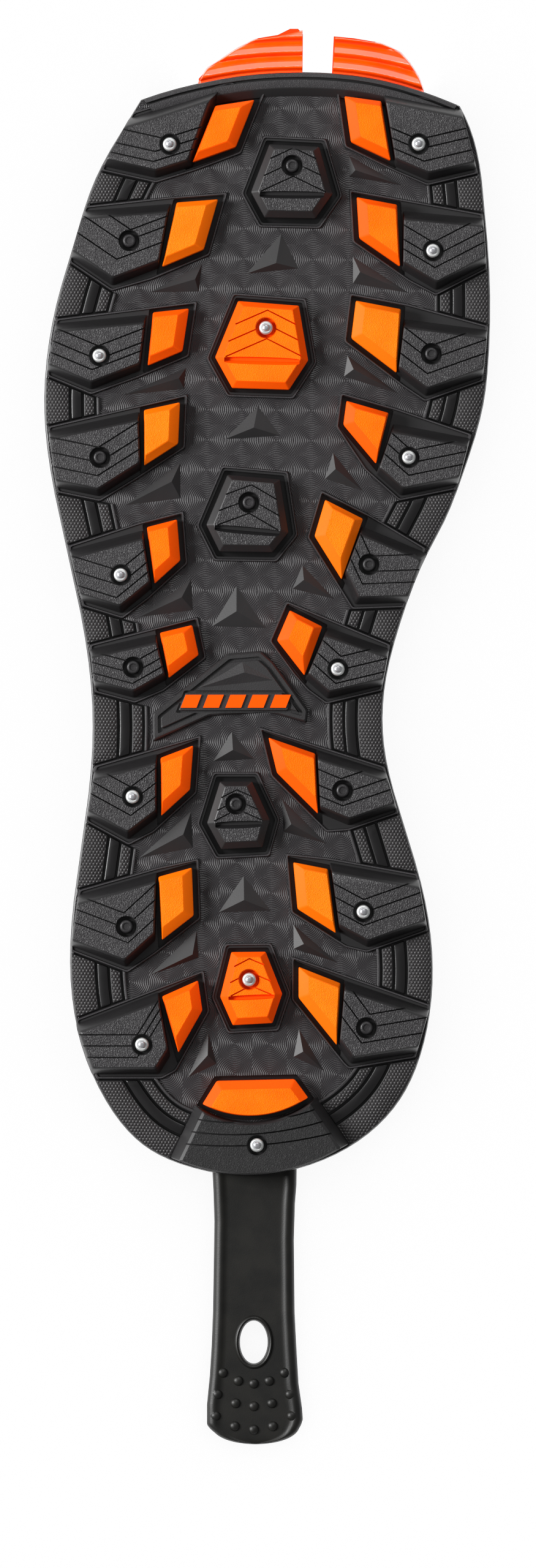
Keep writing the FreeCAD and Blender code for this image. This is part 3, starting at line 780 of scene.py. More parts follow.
def mark_running_faces(piece: bpy.types.Object, lowest: float) -> None:
    """Mark the upward faces above a height, where RunningFaceFinish shows its relief and main colours; off
    them it paints the wall colour as painted light and shade.

    Args:
        piece: the object.
        lowest: the height that the faces stand above.
    """
    mesh = piece.data
    normals = np.empty(len(mesh.polygons) * 3)
    centres = np.empty(len(mesh.polygons) * 3)
    mesh.polygons.foreach_get("normal", normals)
    mesh.polygons.foreach_get("center", centres)
    upward = (normals.reshape(-1, 3)[:, 2] > 0.97) & (centres.reshape(-1, 3)[:, 2] > lowest * MM)
    layer = mesh.attributes.new("running_face", "FLOAT", "FACE")
    layer.data.foreach_set("value", upward.astype(np.float32))


def dressed(
    piece: bpy.types.Object, finish: Finish, slot: str, *nodes: str, body: str = "sole"
) -> bpy.types.Object:
    """Finish a piece: its material, the body it rides on and the frame parts it stands for.

    Args:
        piece: the object.
        finish: its surface.
        slot: the record's material slot; not used.
        nodes: frame parts that it replaces.
        body: the body it moves with, or an empty string for a piece that this script attaches to no body.

    Returns:
        The same object.
    """
    piece.data.materials.clear()
    piece.data.materials.append(finish.material())
    if body:
        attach(piece, body)
    if nodes:
        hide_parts(*nodes)
    log.info("%s: %d faces", piece.name, len(piece.data.polygons))
    return piece


def smooth_by_angle(piece: bpy.types.Object, degrees: float = 32.0) -> None:
    """Shade a piece smooth, except across edges sharper than an angle."""
    piece.data.polygons.foreach_set("use_smooth", np.ones(len(piece.data.polygons), bool))
    piece.data.set_sharp_from_angle(angle=np.radians(degrees))


@dataclass
class Sole:
    """The edge of the sole, which the skirt, rim, windows and bumper all follow.

    Args:
        count: points kept on the edge.
    """

    count: int = 720

    def __post_init__(self) -> None:
        """Read the edge from the frame's rubber web, and average its normals over nine points."""
        self.corners = straightened(face_loops("outsole_web", FLOOR)[0], 0.004)
        self.edge = resampled(self.corners, self.count)
        spread = edge_normals(self.edge).T
        window = np.ones(9) / 9
        wrapped = np.concatenate([spread[:, -4:], spread, spread[:, :4]], axis=1)
        self.normals = unit(np.stack([np.convolve(row, window, "valid") for row in wrapped], axis=1))

    def wall(self, growth: float = 0.0) -> Shell:
        """A tall block with the sole's outline, which lugs and pads are trimmed to."""
        ring = grown(self.corners, growth)
        return lofted(np.stack([lifted(ring, 2.0), lifted(ring, 30.0)]))

    def inside(self, depth: float) -> np.ndarray:
        """The edge moved inwards."""
        return self.edge - self.normals * depth

    def crossing(self, depth: float, point: np.ndarray, normal: np.ndarray, near: np.ndarray) -> float:
        """Where the inset edge crosses a line, as a place along the edge.

        Args:
            depth: how far the edge is inset.
            point: a point of the line.
            normal: the line's normal.
            near: a point beside the crossing that is wanted.

        Returns:
            The crossing's index along the edge, with its fraction.
        """
        side = (self.inside(depth) - point) @ normal
        ahead = np.roll(side, -1)
        places = np.nonzero(side * ahead <= 0)[0]
        gaps = np.linalg.norm(self.edge[places] - near, axis=1)
        best = int(places[np.argmin(gaps)])
        return best + float(side[best] / (side[best] - ahead[best]))

    def stretch(self, depth: float, start: float, end: float, steps: int = 14) -> np.ndarray:
        """The inset edge from one place to another, the short way round.

        Args:
            depth: how far the edge is inset.
            start: place of the first point along the edge.
            end: place of the last point.
            steps: how many points.

        Returns:
            The points.
        """
        if end - start > self.count / 2:
            end -= self.count
        if start - end > self.count / 2:
            end += self.count
        at = np.linspace(start, end, steps)
        wrapped = np.tile(self.inside(depth), (3, 1))
        index = np.arange(len(wrapped)) - self.count
        return np.stack([np.interp(at, index, axis) for axis in wrapped.T], axis=1)


@dataclass
class Lug:
    """One black lug: a pentagon with sloping walls, three chevron sipes and a stud well.

    Args:
        node: the frame part that it stands for.
        side: the row it belongs to.
        sipes: places of the three chevron points, measured from the lug's own point.
        within: the upright wall of the sole's edge, which the lug ends at.
        sipe_width: width of a sipe.
        sipe_depth: depth of a sipe.
    """

    node: str
    side: Side
    sipes: tuple[tuple[float, float], ...]
    within: Shell
    sipe_width: float = 0.42
    sipe_depth: float = 1.5

    def __post_init__(self) -> None:
        """Read the outline and the well from the frame part."""
        self.corners = face_loops(self.node, FLOOR)[0]
        loops = face_loops(self.node, LUG_TOP)
        self.well = loops[1].mean(axis=0) if len(loops) > 1 else None
        lowest = int(np.argmin(self.corners[:, 1]))
        if self.node == "lug_left_9":
            low = np.nonzero(self.corners[:, 1] < self.corners[:, 1].min() + 0.5)[0]
            lowest = int(low[np.argmax(self.corners[low, 0])])
        self.apex = self.corners[lowest]
        before = self.corners[lowest - 1]
        after = self.corners[(lowest + 1) % len(self.corners)]
        self.left_arm = unit(before - self.apex)
        self.right_arm = unit(after - self.apex)

    def slopes(self) -> np.ndarray:
        """How far each wall spreads at its foot: long to the heel and toe, short beside the chip.

        Returns:
            The spread of each side at its foot.
        """
        normals = edge_normals(self.corners)
        outer = normals[:, 0] * self.side.value > 0.6
        return np.select([normals[:, 1] < -0.3, outer, normals[:, 1] > 0.5], [1.8, 0.25, 2.5], 0.35)

    def build(self) -> bpy.types.Object:
        """Make the lug with its sipes and well.

        Returns:
            The dressed piece.
        """
        foot = self.slopes()
        steps = [
            (foot, FLOOR - 0.2),
            (foot * 0.96, FLOOR + 0.6),
            (foot * 0.18, LUG_TOP - 0.75),
            (foot * 0.05, LUG_TOP - 0.35),
            (-0.35, LUG_TOP),
        ]
        piece = new_mesh(self.node + "_rubber", block(self.corners, steps, 0.6))
        carved(piece, self.within, Cut.KEEP)
        cutters = []
        for dx, dy in self.sipes:
            point = self.apex + np.array([dx, dy])
            line = np.array([point + self.left_arm * 26, point, point + self.right_arm * 26])
            cutters.append(ribbon(line, self.sipe_width, LUG_TOP - self.sipe_depth, LUG_TOP + 1))
        if cutters:
            carved(piece, joined(cutters))
        if self.well is not None:
            carved(piece, well_cutter(self.well, LUG_TOP))
        mark_running_faces(piece, LUG_TOP - 0.2)
        smooth_by_angle(piece, 28)
        return dressed(piece, LUG_RUBBER, "lug_rubber", self.node)


def well_cutter(centre: np.ndarray, top: float) -> Shell:
    """The round well about a stud, a little wider at its mouth.

    Args:
        centre: the well's axis.
        top: height of the face that it opens in.

    Returns:
        The cutter.
    """
    profile = np.array(
        [
            [0.4, top - WELL_DEPTH],
            [WELL_RADIUS - 0.2, top - WELL_DEPTH],
            [WELL_RADIUS - 0.1, top - 0.3],
            [WELL_RADIUS + 0.15, top + 0.02],
            [WELL_RADIUS + 0.15, top + 1],
            [0.4, top + 1],
        ]
    )
    return turned(profile, centre[None], 36)


@dataclass
class Chip:
    """One orange chip beside a lug: bevelled widely towards the middle of the foot and the heel.

    Args:
        node: the frame part that it stands for.
        inner: the way along X to the middle of the foot.
        finish: its surface.
        bevels: width of the slope towards the middle, the heel, the toe and the lug.
    """

    node: str
    inner: int
    finish: Finish
    bevels: tuple[float, float, float, float] = (2.7, 2.2, 1.4, 0.4)

    def widths(self, normals: np.ndarray) -> np.ndarray:
        """Width of the slope on each side, by the way that the side faces."""
        facing = [normals[:, 0] * self.inner > 0.6, normals[:, 1] < -0.3, normals[:, 1] > 0.5]
        return np.select(facing, self.bevels[:3], self.bevels[3])

    def trimmed(self, piece: bpy.types.Object, corners: np.ndarray) -> None:
        """A chip beside a lug needs no more cuts."""

    def build(self) -> bpy.types.Object:
        """Make the chip.

        Returns:
            The dressed piece.
        """
        corners = base_outline(self.node)
        bevel = self.widths(edge_normals(corners))
        steps = [
            (-0.15, MOAT_FLOOR - 0.1),
            (-0.05, CHIP_TOP - 2.0),
            (-0.08 - bevel * 0.04, CHIP_TOP - 1.7),
            (-bevel * 0.94, CHIP_TOP - 0.12),
            (-bevel - 0.15, CHIP_TOP),
        ]
        piece = new_mesh(self.node + "_compound", block(corners, steps, 0.5))
        self.trimmed(piece, corners)
        mark_running_faces(piece, CHIP_TOP - 0.1)
        smooth_by_angle(piece, 14)
        return dressed(piece, self.finish, "orange_compound", self.node)


@dataclass
class HeelChip(Chip):
    """The chip across the heel: sloping at both ends and at the toe side, and upright at its curved side.

    Args:
        slope: width of the slopes.
        edge: width of the narrow bevel all round.
        reach: how far the trimming block runs past the curved side, in lengths of the ends.
    """

    slope: float = 2.5
    edge: float = 0.3
    reach: float = 3.0

    def widths(self, normals: np.ndarray) -> np.ndarray:
        """The narrow bevel on every side."""
        return np.full(len(normals), self.edge)

    def trimmed(self, piece: bpy.types.Object, corners: np.ndarray) -> None:
        """Keep what lies in a block that slopes over the ends and the toe side, and runs on to the heel.

        Args:
            piece: the chip.
            corners: its anticlockwise outline.
        """
        right = int(np.argmax(edge_normals(corners)[:, 0]))
        a, b, c, d = np.roll(corners, -right, axis=0)[:4]
        ring = np.array([a + self.reach * (a - b), b, c, d + self.reach * (d - c)])
        steps = [
            (self.edge, 2.0),
            (self.edge, CHIP_TOP - 1.7),
            (-self.slope, CHIP_TOP - 0.1),
            (-self.slope - 0.6, CHIP_TOP + 0.02),
        ]
        carved(piece, block(ring, steps, 0.5), Cut.KEEP)


@dataclass
class Pod:
    """One hexagonal pod: a cross groove at its widest line, and inverted sipes about its stud.

    Args:
        node: the frame part that it stands for.
        finish: its surface.
        slot: the record's material slot.
        bevel: width of the sloping edge.
        groove: width of the cross groove.
        rises: places of the three sipe points, measured from the stud towards the toe.
    """

    node: str
    finish: Finish
    slot: str
    bevel: float = 1.9
    groove: float = 2.1
    rises: tuple[float, float, float] = (4.9, 0.95, -3.0)

    def __post_init__(self) -> None:
        """Read the outline and the well from the frame part."""
        self.corners = base_outline(self.node)
        self.well = face_loops(self.node, LUG_TOP)[1].mean(axis=0)

    def bevels(self) -> np.ndarray:
        """Width of the sloping edge on each side: narrower towards the toe."""
        normals = edge_normals(self.corners)
        return np.where(normals[:, 1] > 0.8, self.bevel * 0.72, self.bevel)

    def groove_cutter(self, left: np.ndarray, right: np.ndarray) -> Shell:
        """A lens-shaped cut with a steep front wall and a floor that rises to the heel.

        Half width = groove / 2 times sin(pi t)^0.16 along the line from t = 0 to 1.

        Args:
            left: where the cut starts.
            right: where the cut ends.

        Returns:
            The cutter.
        """
        along = unit(right - left)
        across = np.array([-along[1], along[0]])
        t = np.linspace(0.02, 0.98, 21)[:, None]
        middle = left + (right - left) * t - across * self.groove * 0.42
        swell = np.sin(np.pi * t) ** 0.16
        front = middle + across * self.groove / 2 * swell
        back = middle - across * self.groove / 2 * swell
        deep = front - across * 1.1 * swell
        rings = np.stack(
            [
                lifted(front, LUG_TOP + 1),
                lifted(back, LUG_TOP + 1),
                lifted(back, LUG_TOP - 0.02),
                lifted(deep, LUG_TOP - 1.5),
                lifted(front - across * 0.2 * swell, LUG_TOP - 1.5),
                lifted(front, LUG_TOP - 0.3),
            ],
            axis=1,
        )
        return lofted(rings)

    def build(self) -> bpy.types.Object:
        """Make the pod.

        Returns:
            The dressed piece.
        """
        bevel = self.bevels()
        steps = [
            (-0.1, MOAT_FLOOR - 0.1),
            (0.0, LUG_TOP - 1.9),
            (-0.12, LUG_TOP - 1.65),
            (-bevel * 0.95, LUG_TOP - 0.1),
            (-bevel - 0.12, LUG_TOP),
        ]
        piece = new_mesh(self.node + "_body", block(self.corners, steps, 0.35))
        top = grown(self.corners, -bevel)
        left = top[np.argmin(top[:, 0])]
        right = top[np.argmax(top[:, 0])]
        carved(piece, self.groove_cutter(left, right))
        along = unit(right - left)
        across = np.array([-along[1], along[0]])
        cutters = []
        for rise in self.rises:
            point = self.well + along * 0.3 + across * rise
            ends = [self.reach(top, point, along * way - across * 0.47) for way in (-1, 1)]
            cutters.append(ribbon(np.array([ends[0], point, ends[1]]), 0.38, LUG_TOP - 0.9, LUG_TOP + 1))
        carved(piece, joined(cutters))
        carved(piece, well_cutter(self.well, LUG_TOP))
        mark_running_faces(piece, LUG_TOP - 0.1)
        smooth_by_angle(piece, 14)
        return dressed(piece, self.finish, self.slot, self.node)

    def reach(self, outline: np.ndarray, point: np.ndarray, toward: np.ndarray) -> np.ndarray:
        """Where a ray from inside an outline meets it, less where it first comes to the cross groove.

        Args:
            outline: the anticlockwise outline.
            point: the ray's start.
            toward: the ray's direction.

        Returns:
            The meeting point.
        """
        normals = edge_normals(outline)
        room = ((outline - point) * normals).sum(axis=1)
        speed = normals @ toward
        times = np.where(speed > 1e-6, room / np.where(speed > 1e-6, speed, 1.0), np.inf)
        left = outline[np.argmin(outline[:, 0])]
        right = outline[np.argmax(outline[:, 0])]
        down = np.array([right[1] - left[1], left[0] - right[0]]) / np.linalg.norm(right - left)
        stop = ((left - point) @ down) / max(float(toward @ down), 1e-6)
        return point + toward * max(min(float(times.min()) + 0.2, stop), 1.0)


# Chips that take the yellower copy of the compound, as painted shade.
SHADED_GOLDEN_CHIPS = ("left_2", "left_4", "left_8", "right_3", "right_5", "right_8", "right_9")

# Points of the three chevron sipes on each lug, from the lug's own point.
SIPES = {
    "lug_left_1": ((-0.5, 2.4), (0.0, 5.2), (2.5, 8.8)),
    "lug_left_2": ((1.1, 5.1), (2.8, 9.8), (5.0, 13.3)),
    "lug_left_3": ((0.3, 3.4), (1.8, 6.2), (2.0, 10.0)),
    "lug_left_4": ((0.0, 3.7), (0.5, 7.4), (0.3, 11.6)),
    "lug_left_5": ((-0.9, 2.3), (-0.2, 5.8), (-0.2, 9.8)),
    "lug_left_6": ((-0.2, 2.1), (0.1, 4.9), (0.1, 7.9)),
    "lug_left_7": ((0.9, 4.6), (0.7, 8.2), (0.9, 12.5)),
    "lug_left_8": ((1.0, 4.8), (0.0, 9.0), (-0.2, 13.1)),
    "lug_left_9": ((-5.0, 3.0), (-5.0, 6.2), (-5.0, 9.3)),
    "lug_right_1": ((-1.3, 3.2), (-2.8, 6.5), (-2.8, 9.2)),
    "lug_right_2": ((-0.5, 4.0), (-1.0, 7.0), (-1.0, 11.0)),
    "lug_right_3": ((0.0, 4.1), (0.6, 8.0), (0.6, 11.7)),
    "lug_right_4": ((1.7, 3.6), (1.9, 7.0), (2.4, 10.5)),
    "lug_right_5": ((0.9, 3.8), (2.0, 7.2), (3.3, 11.5)),
    "lug_right_6": ((1.8, 2.3), (2.3, 5.9), (3.3, 9.8)),
    "lug_right_7": ((-1.8, 3.6), (-2.3, 6.8), (-2.3, 11.1)),
    "lug_right_8": ((-1.3, 4.2), (-1.2, 7.8), (-1.2, 11.4)),
    "lug_right_9": ((2.2, 4.0), (3.0, 8.2), (4.5, 12.0)),
}


@dataclass
class HeelLug:
    """The lug across the heel: sloping ends, and curved sipes that follow its front edge.

    Args:
        node: the frame part that it stands for.
        slopes: how far the ends, the heel side and the front spread at their feet.
        sipes: place along Y, bow and half length of each sipe.
        middle: X of the sipes' middle.
        lean: how far the sipes climb from the middle to the right end.
    """

    node: str = "lug_heel"
    slopes: tuple[float, float, float] = (3.0, 0.25, 0.5)
    sipes: tuple[tuple[float, float, float], ...] = (
        (-106.9, 2.3, 17.0), (-110.2, 2.2, 19.0), (-113.3, 1.9, 21.0),
    )
    middle: float = -3.1
    lean: float = 1.4

    def cutters(self) -> list[Shell]:
        """A cutter for each sipe: y = place + lean t + bow t^2, with t from -1 to 1 along it.

        Returns:
            The cutters.
        """
        t = np.linspace(-1, 1, 15)
        made = []
        for place, bow, spread in self.sipes:
            line = np.stack([self.middle + spread * t, place + self.lean * t + bow * t**2], axis=1)
            made.append(ribbon(line, Lug.sipe_width, LUG_TOP - Lug.sipe_depth, LUG_TOP + 1))
        return made

    def build(self) -> bpy.types.Object:
        """Make the lug.

        Returns:
            The dressed piece.
        """
        corners = face_loops(self.node, FLOOR)[0]
        normals = edge_normals(corners)
        ends, back, front = self.slopes
        foot = np.select([np.abs(normals[:, 0]) > 0.7, normals[:, 1] < 0], [ends, back], front)
        steps = [
            (foot, FLOOR - 0.2),
            (foot * 0.96, FLOOR + 0.6),
            (foot * 0.15, LUG_TOP - 0.6),
            (-0.35, LUG_TOP),
        ]
        piece = new_mesh("lug_heel_rubber", block(corners, steps, 0.4))
        carved(piece, joined(self.cutters()))
        carved(piece, well_cutter(face_loops(self.node, LUG_TOP)[1].mean(axis=0), LUG_TOP))
        mark_running_faces(piece, LUG_TOP - 0.2)
        smooth_by_angle(piece, 28)
        return dressed(piece, HEEL_RUBBER, "lug_rubber", self.node)


def base_outline(node: str) -> np.ndarray:
    """Outline of a chip or a pod at its base."""
    return face_loops(node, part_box(node)[0].z / MM)[0]


def pad_ring(name: str, side: Side) -> np.ndarray:
    """Outline of the pad about a lug and its chip: the convex line about both once they have been grown.

    Args:
        name: name of the group, such as left_3.
        side: the row that it belongs to.

    Returns:
        The anticlockwise outline.
    """
    lug = face_loops("lug_" + name, FLOOR)[0]
    normals = edge_normals(lug)
    facing = [normals[:, 0] * side.value > 0.75, normals[:, 1] < -0.25, normals[:, 1] > 0.25]
    growth = np.select(facing, [SIDE_REACH, HEEL_REACH, TOE_REACH], SIDE_REACH)
    both = np.concatenate([grown(lug, growth), grown(base_outline("chip_" + name), CHIP_REACH)])
    return straightened(both[convex_hull_2d(both.tolist())], 0.03)


@dataclass
class Tread:
    """The rubber web with its skirt, moats, group pads, window recesses and pyramids.

    Args:
        sole: the sole's edge.
        pad_rise: how far the pad about each group of lug and chip stands above the floor.
        moat: width of the gap about each chip.
        frame: width of the frame round a pod's gap.
        point_rise: height of the three-sided points above the floor.
    """

    sole: Sole
    pad_rise: float = 0.75
    moat: float = 1.15
    frame: float = 1.35
    point_rise: float = 1.4

    def rows(self) -> list[tuple[Side, int]]:
        """Each lug's row and its number from the toe."""
        return [(side, number) for side in Side for number in range(1, 10)]

    def moats(self) -> dict[str, Shell]:
        """A cutter for the gap about each chip and pod.

        Returns:
            The cutters by the name of their chip or pod.
        """
        chips = [f"chip_{side.name.lower()}_{number}" for side, number in self.rows()]
        gaps = dict.fromkeys([*chips, "chip_heel"], self.moat) | PODS
        steps = [(0.0, MOAT_FLOOR), (0.0, FLOOR + 4)]
        return {node: block(grown(base_outline(node), gap), steps, 0.5) for node, gap in gaps.items()}

    def web(self, moats: dict[str, Shell], windows: list[Shell]) -> bpy.types.Object:
        """The web: its edge rounded, hollow below for the plate, with a gap for tabs and strap.

        Args:
            moats: cutters for the gaps about chips and pods.
            windows: cutters for the windows' recesses.

        Returns:
            The dressed piece.
        """
        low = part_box("outsole_web")[0].z / MM
        ring = self.sole.corners
        steps = [
            (-0.5, low),
            (-0.1, low + 0.3),
            (0.0, low + 0.8),
            (0.0, PLATE_TOP - 0.3),
            (-0.35, PLATE_TOP - 0.1),
            (-0.35, PLATE_TOP + 0.1),
            (0.0, PLATE_TOP + 0.3),
            (0.0, FLOOR - 0.8),
            (-0.2, FLOOR - 0.15),
            (-0.45, FLOOR),
        ]
        rings = [lifted(grown(ring, growth), height) for growth, height in steps]
        piece = new_mesh("outsole_web_rubber", lofted(np.stack(rings)))
        plate = block(grown(ring, -1.7), [(0.0, low - 1), (0.0, PLATE_TOP)], 0.1)
        carved(piece, plate)
        carved(piece, box_shell((-19.4, 170.0, low - 1), (44.0, 190.0, PLATE_TOP + 0.01)))
        carved(piece, box_shell((-15.4, -126.0, low - 1), (8.2, -118.0, 5.4)))
        carved(piece, joined(list(moats.values()) + windows))
        mark_running_faces(piece, FLOOR - 0.1)
        smooth_by_angle(piece, 30)
        return dressed(piece, FLOOR_RUBBER, "web_rubber", "outsole_web")

    def lipped(self, growth: float) -> Steps:
        """Profile of a pad: a narrow raised lip at its edge, with the flat half a millimetre below it.

        Args:
            growth: how far the pad stands out from its outline.

        Returns:
            (growth, height) pairs from the base to the flat.
        """
        top = FLOOR + self.pad_rise
        return [
            (growth, FLOOR - 0.6),
            (growth - 0.05, top - 0.3),
            (growth - 0.25, top),
            (growth - 0.6, top),
            (growth - 0.8, top - 0.5),
        ]

    def pads(self, moats: dict[str, Shell]) -> list[bpy.types.Object]:
        """The low pad that frames each lug with its chip, and each pod.

        Args:
            moats: cutters for the gaps about chips and pods.

        Returns:
            The dressed pieces.
        """
        made = []
        for side, number in self.rows():
            name = f"{side.name.lower()}_{number}"
            piece = new_mesh(f"group_pad_{name}", block(pad_ring(name, side), self.lipped(0.0), 0.6))
            carved(piece, self.sole.wall(-0.4), Cut.KEEP)
            made.append(carved(piece, moats["chip_" + name]))
        for node, gap in PODS.items():
            shape = block(base_outline(node), self.lipped(gap + self.frame), 0.7)
            made.append(carved(new_mesh(f"frame_{node}", shape), moats[node]))
        for piece in made:
            mark_running_faces(piece, FLOOR + self.pad_rise - 0.1)
            smooth_by_angle(piece)
            dressed(piece, PAD_RUBBER, "web_rubber")
        return made

    def pyramids(self) -> bpy.types.Object:
        """The three-sided points on the floor, each a peak over three feet."""
        piece = new_mesh("floor_pyramids", points_shell(np.array(PYRAMIDS, float), FLOOR, self.point_rise))
        return dressed(piece, POINT_RUBBER, "web_rubber")


# Width of the moat about each pod, and what sets some pods apart.
PODS = {"pod_toe": 1.3, "pod_ball": 1.1, "pod_waist": 1.3, "pod_arch": 1.4, "pod_heel": 1.1}
ORANGE_PODS = ("pod_ball", "pod_heel")
POD_SHAPES = {
    "pod_arch": {"rises": (3.9, 1.0, -1.5)},
    "pod_heel": {"rises": (5.8, 2.0, -1.7), "groove": 1.4},
}

# Floor points: the peak, then its three feet.
PYRAMIDS = (
    ((2.5, 131.5), (4, 140), (-6, 128.5), (9, 130)),
    ((-3.7, 85.8), (-2.5, 92), (-12, 82.5), (4, 83.5)),
    ((-8.5, 34.8), (-8.5, 42), (-15.5, 30.5), (0, 30)),
    ((-9.5, -3.7), (-9.8, 1.5), (-15.2, -7), (-3.5, -6.3)),
    ((-6.4, -45.4), (-6.5, -38.5), (-13.7, -49), (1.3, -48.5)),
    ((-20, 127), (-33, 123.3), (-18, 131.5), (-19, 123.5)),
    ((-24.5, 99.5), (-40.5, 94.7), (-22.5, 102.5), (-23, 96.5)),
    ((-26.5, 70.8), (-40, 64), (-24, 76.3), (-24, 66)),
    ((-23.7, 38.7), (-36, 33), (-21, 44), (-20.5, 35)),
    ((-23.3, -27.2), (-36, -34), (-21, -20.5), (-20.5, -31)),
    ((-20.7, -60.5), (-33, -66.5), (-19.5, -53.5), (-19, -61.5)),
    ((-16.5, -88.5), (-22.3, -95), (-16.3, -82), (-14, -91)),
    ((24.5, 157.3), (22.7, 161.5), (22.8, 155.5), (38, 153)),
    ((25.8, 129), (23.8, 133.5), (23.8, 125.8), (40, 123)),
    ((24, 102), (22.3, 106), (21.3, 100), (37, 95)),
    ((19, 74.3), (18.3, 79), (16, 71.5), (27, 68)),
    ((10.2, 43.5), (9.8, 47.8), (7, 41), (19, 38)),
    ((6.7, -24.3), (4, -17), (4.5, -26.5), (17, -30)),
    ((10.2, -57.6), (7.2, -52), (7.3, -59), (20, -63)),
    ((10, -87.5), (8.8, -81), (7.3, -89), (16, -93)),
)


def points_shell(table: np.ndarray, base: float, rise: float) -> Shell:
    """Three-sided points standing on a flat.

    Args:
        table: the peak and the three feet of each point, shaped (points, 4, 2).
        base: height of the flat.
        rise: height of the peaks above it.

    Returns:
        One shell that holds them all.
    """
    peaks = np.concatenate([table[:, :1], np.full((len(table), 1, 1), base + rise)], axis=2)
    feet = np.concatenate([table[:, 1:], np.full((len(table), 3, 1), base - 0.05)], axis=2)
    sides = [(0, 1, 2), (0, 2, 3), (0, 3, 1), (3, 2, 1)]
    return joined([Shell(np.vstack([peak, foot]), sides).outward() for peak, foot in zip(peaks, feet)])


def box_shell(low: tuple[float, float, float], high: tuple[float, float, float]) -> Shell:
    """A plain box, used only as a cutter."""
    corners = np.array([[low[0], low[1]], [high[0], low[1]], [high[0], high[1]], [low[0], high[1]]])
    return lofted(np.stack([lifted(corners, low[2]), lifted(corners, high[2])]))


@dataclass
class Window:
    """The stretch of rim between two lugs: dotted rim, polished bar, dotted strip and a thin ridge.

    Each band's two numbers are the depths of its sides, measured in from the sole's edge.

    Args:
        sole: the sole's edge.
        name: name of the window.
        side: the row of lugs.
        ahead: outline of the lug and chip towards the toe.
        behind: outline of the lug and chip towards the heel.
        by_heel: True where the lug across the heel closes the window.
        rim: the dotted rim.
        bar: the polished bar.
        strip: the dotted strip.
        ridge: the thin ridge beside the floor.
        slack: how far the ridge runs on into the pads at its ends.
        pad_gap: gap to the pads.
        heel_gap: gap to the lug across the heel, which has no pad.
    """

    sole: Sole
    name: str
    side: Side
    ahead: np.ndarray
    behind: np.ndarray
    by_heel: bool
    rim: tuple[float, float] = (0.3, 6.9)
    bar: tuple[float, float] = (7.5, 10.4)
    strip: tuple[float, float] = (11.0, 13.9)
    ridge: tuple[float, float] = (14.5, 15.4)
    slack: float = 0.5
    pad_gap: float = 0.3
    heel_gap: float = 2.9

    def __post_init__(self) -> None:
        """Find the two lines that close the window: one behind a pad and one ahead of the next."""
        self.front = self.line(self.ahead, -1, self.pad_gap)
        self.back = self.line(self.behind, 1, self.heel_gap if self.by_heel else self.pad_gap)

    def line(self, corners: np.ndarray, way: int, gap: float) -> tuple[np.ndarray, np.ndarray, np.ndarray]:
        """A line parallel to the outermost side that faces the heel or the toe.

        Args:
            corners: outline of a lug and its chip.
            way: 1 for a side that faces the toe, -1 for the heel.
            gap: distance from that side.

        Returns:
            A point of the line, its normal, and the outer corner beside it.
        """
        normals = edge_normals(corners)
        ahead = np.roll(corners, -1, axis=0)
        middle = (corners + ahead) / 2
        facing = normals[:, 1] * way > 0.35
        score = np.where(facing, middle[:, 0] * self.side.value, -1e9)
        pick = int(np.argmax(score))
        pair = np.array([corners[pick], ahead[pick]])
        outer = pair[np.argmax(pair[:, 0] * self.side.value)]
        return middle[pick] + normals[pick] * gap, normals[pick], outer

    def patch(self, low: float, high: float, slack: float = 0.0) -> np.ndarray:
        """The stretch of rim between two depths, as an outline.

        Args:
            low: depth of its outer side.
            high: depth of its inner side.
            slack: how much further its ends reach.

        Returns:
            The anticlockwise outline.
        """
        runs = []
        for depth in (low, high):
            places = [
                self.sole.crossing(depth, point - normal * slack, normal, outer)
                for point, normal, outer in (self.front, self.back)
            ]
            runs.append(self.sole.stretch(depth, *places))
        outline = np.concatenate([runs[0], runs[1][::-1]])
        return outline if area(outline) > 0 else outline[::-1]

    def cutter(self) -> Shell:
        """The recess that the bar and its neighbours stand in."""
        steps = [(0.0, FLOOR - 1.1), (0.0, FLOOR + 1)]
        return block(self.patch(1.0, self.ridge[1] - 0.2, self.slack), steps, 0.1)

    def raised(self, band: tuple[float, float], top: float, edge: float, slack: float = 0.0) -> Shell:
        """One band of the window with rounded upper edges.

        Args:
            band: depths of its two sides.
            top: its height.
            edge: width of the rounding.
            slack: how much further its ends reach.

        Returns:
            The closed shell.
        """
        steps = [(0.0, FLOOR - 1.2), (0.0, top - edge), (-edge * 0.3, top - edge * 0.3), (-edge, top)]
        return block(self.patch(*band, slack), steps, 0.3)

    def build(self) -> list[bpy.types.Object]:
        """Make the window's pieces.

        Returns:
            The dotted rim with its strip, the bar and the ridge.
        """
        dots = joined([self.raised(band, FLOOR + 0.45, 0.25) for band in (self.rim, self.strip)])
        dotted = new_mesh(f"rim_{self.name}", dots)
        mark_running_faces(dotted, FLOOR + 0.3)
        bar = new_mesh(f"window_bar_{self.name}", self.raised(self.bar, FLOOR + 0.6, 0.4))
        ridge = new_mesh(f"ridge_{self.name}", self.raised(self.ridge, FLOOR + 0.74, 0.25, self.slack))
        mark_running_faces(ridge, FLOOR + 0.6)
        for piece in (dotted, bar, ridge):
            smooth_by_angle(piece, 40)
        return [
            dressed(dotted, RIM_RUBBER, "web_rubber"),
            dressed(bar, GLOSS_RUBBER, "web_rubber"),
            dressed(ridge, PAD_RUBBER, "web_rubber"),
        ]


def windows_along(sole: Sole) -> list[Window]:
    """Every window, from the toe to the heel on both sides.

    Args:
        sole: the sole's edge.

    Returns:
        The windows, not yet built.
    """
    made = []
    for side in Side:
        rings = [pad_ring(f"{side.name.lower()}_{number}", side) for number in range(1, 10)]
        rings.append(face_loops("lug_heel", FLOOR)[0])
        for number, (ahead, behind) in enumerate(zip(rings, rings[1:]), 1):
            made.append(Window(sole, f"{side.name.lower()}_{number}", side, ahead, behind, number == 9))
    return made


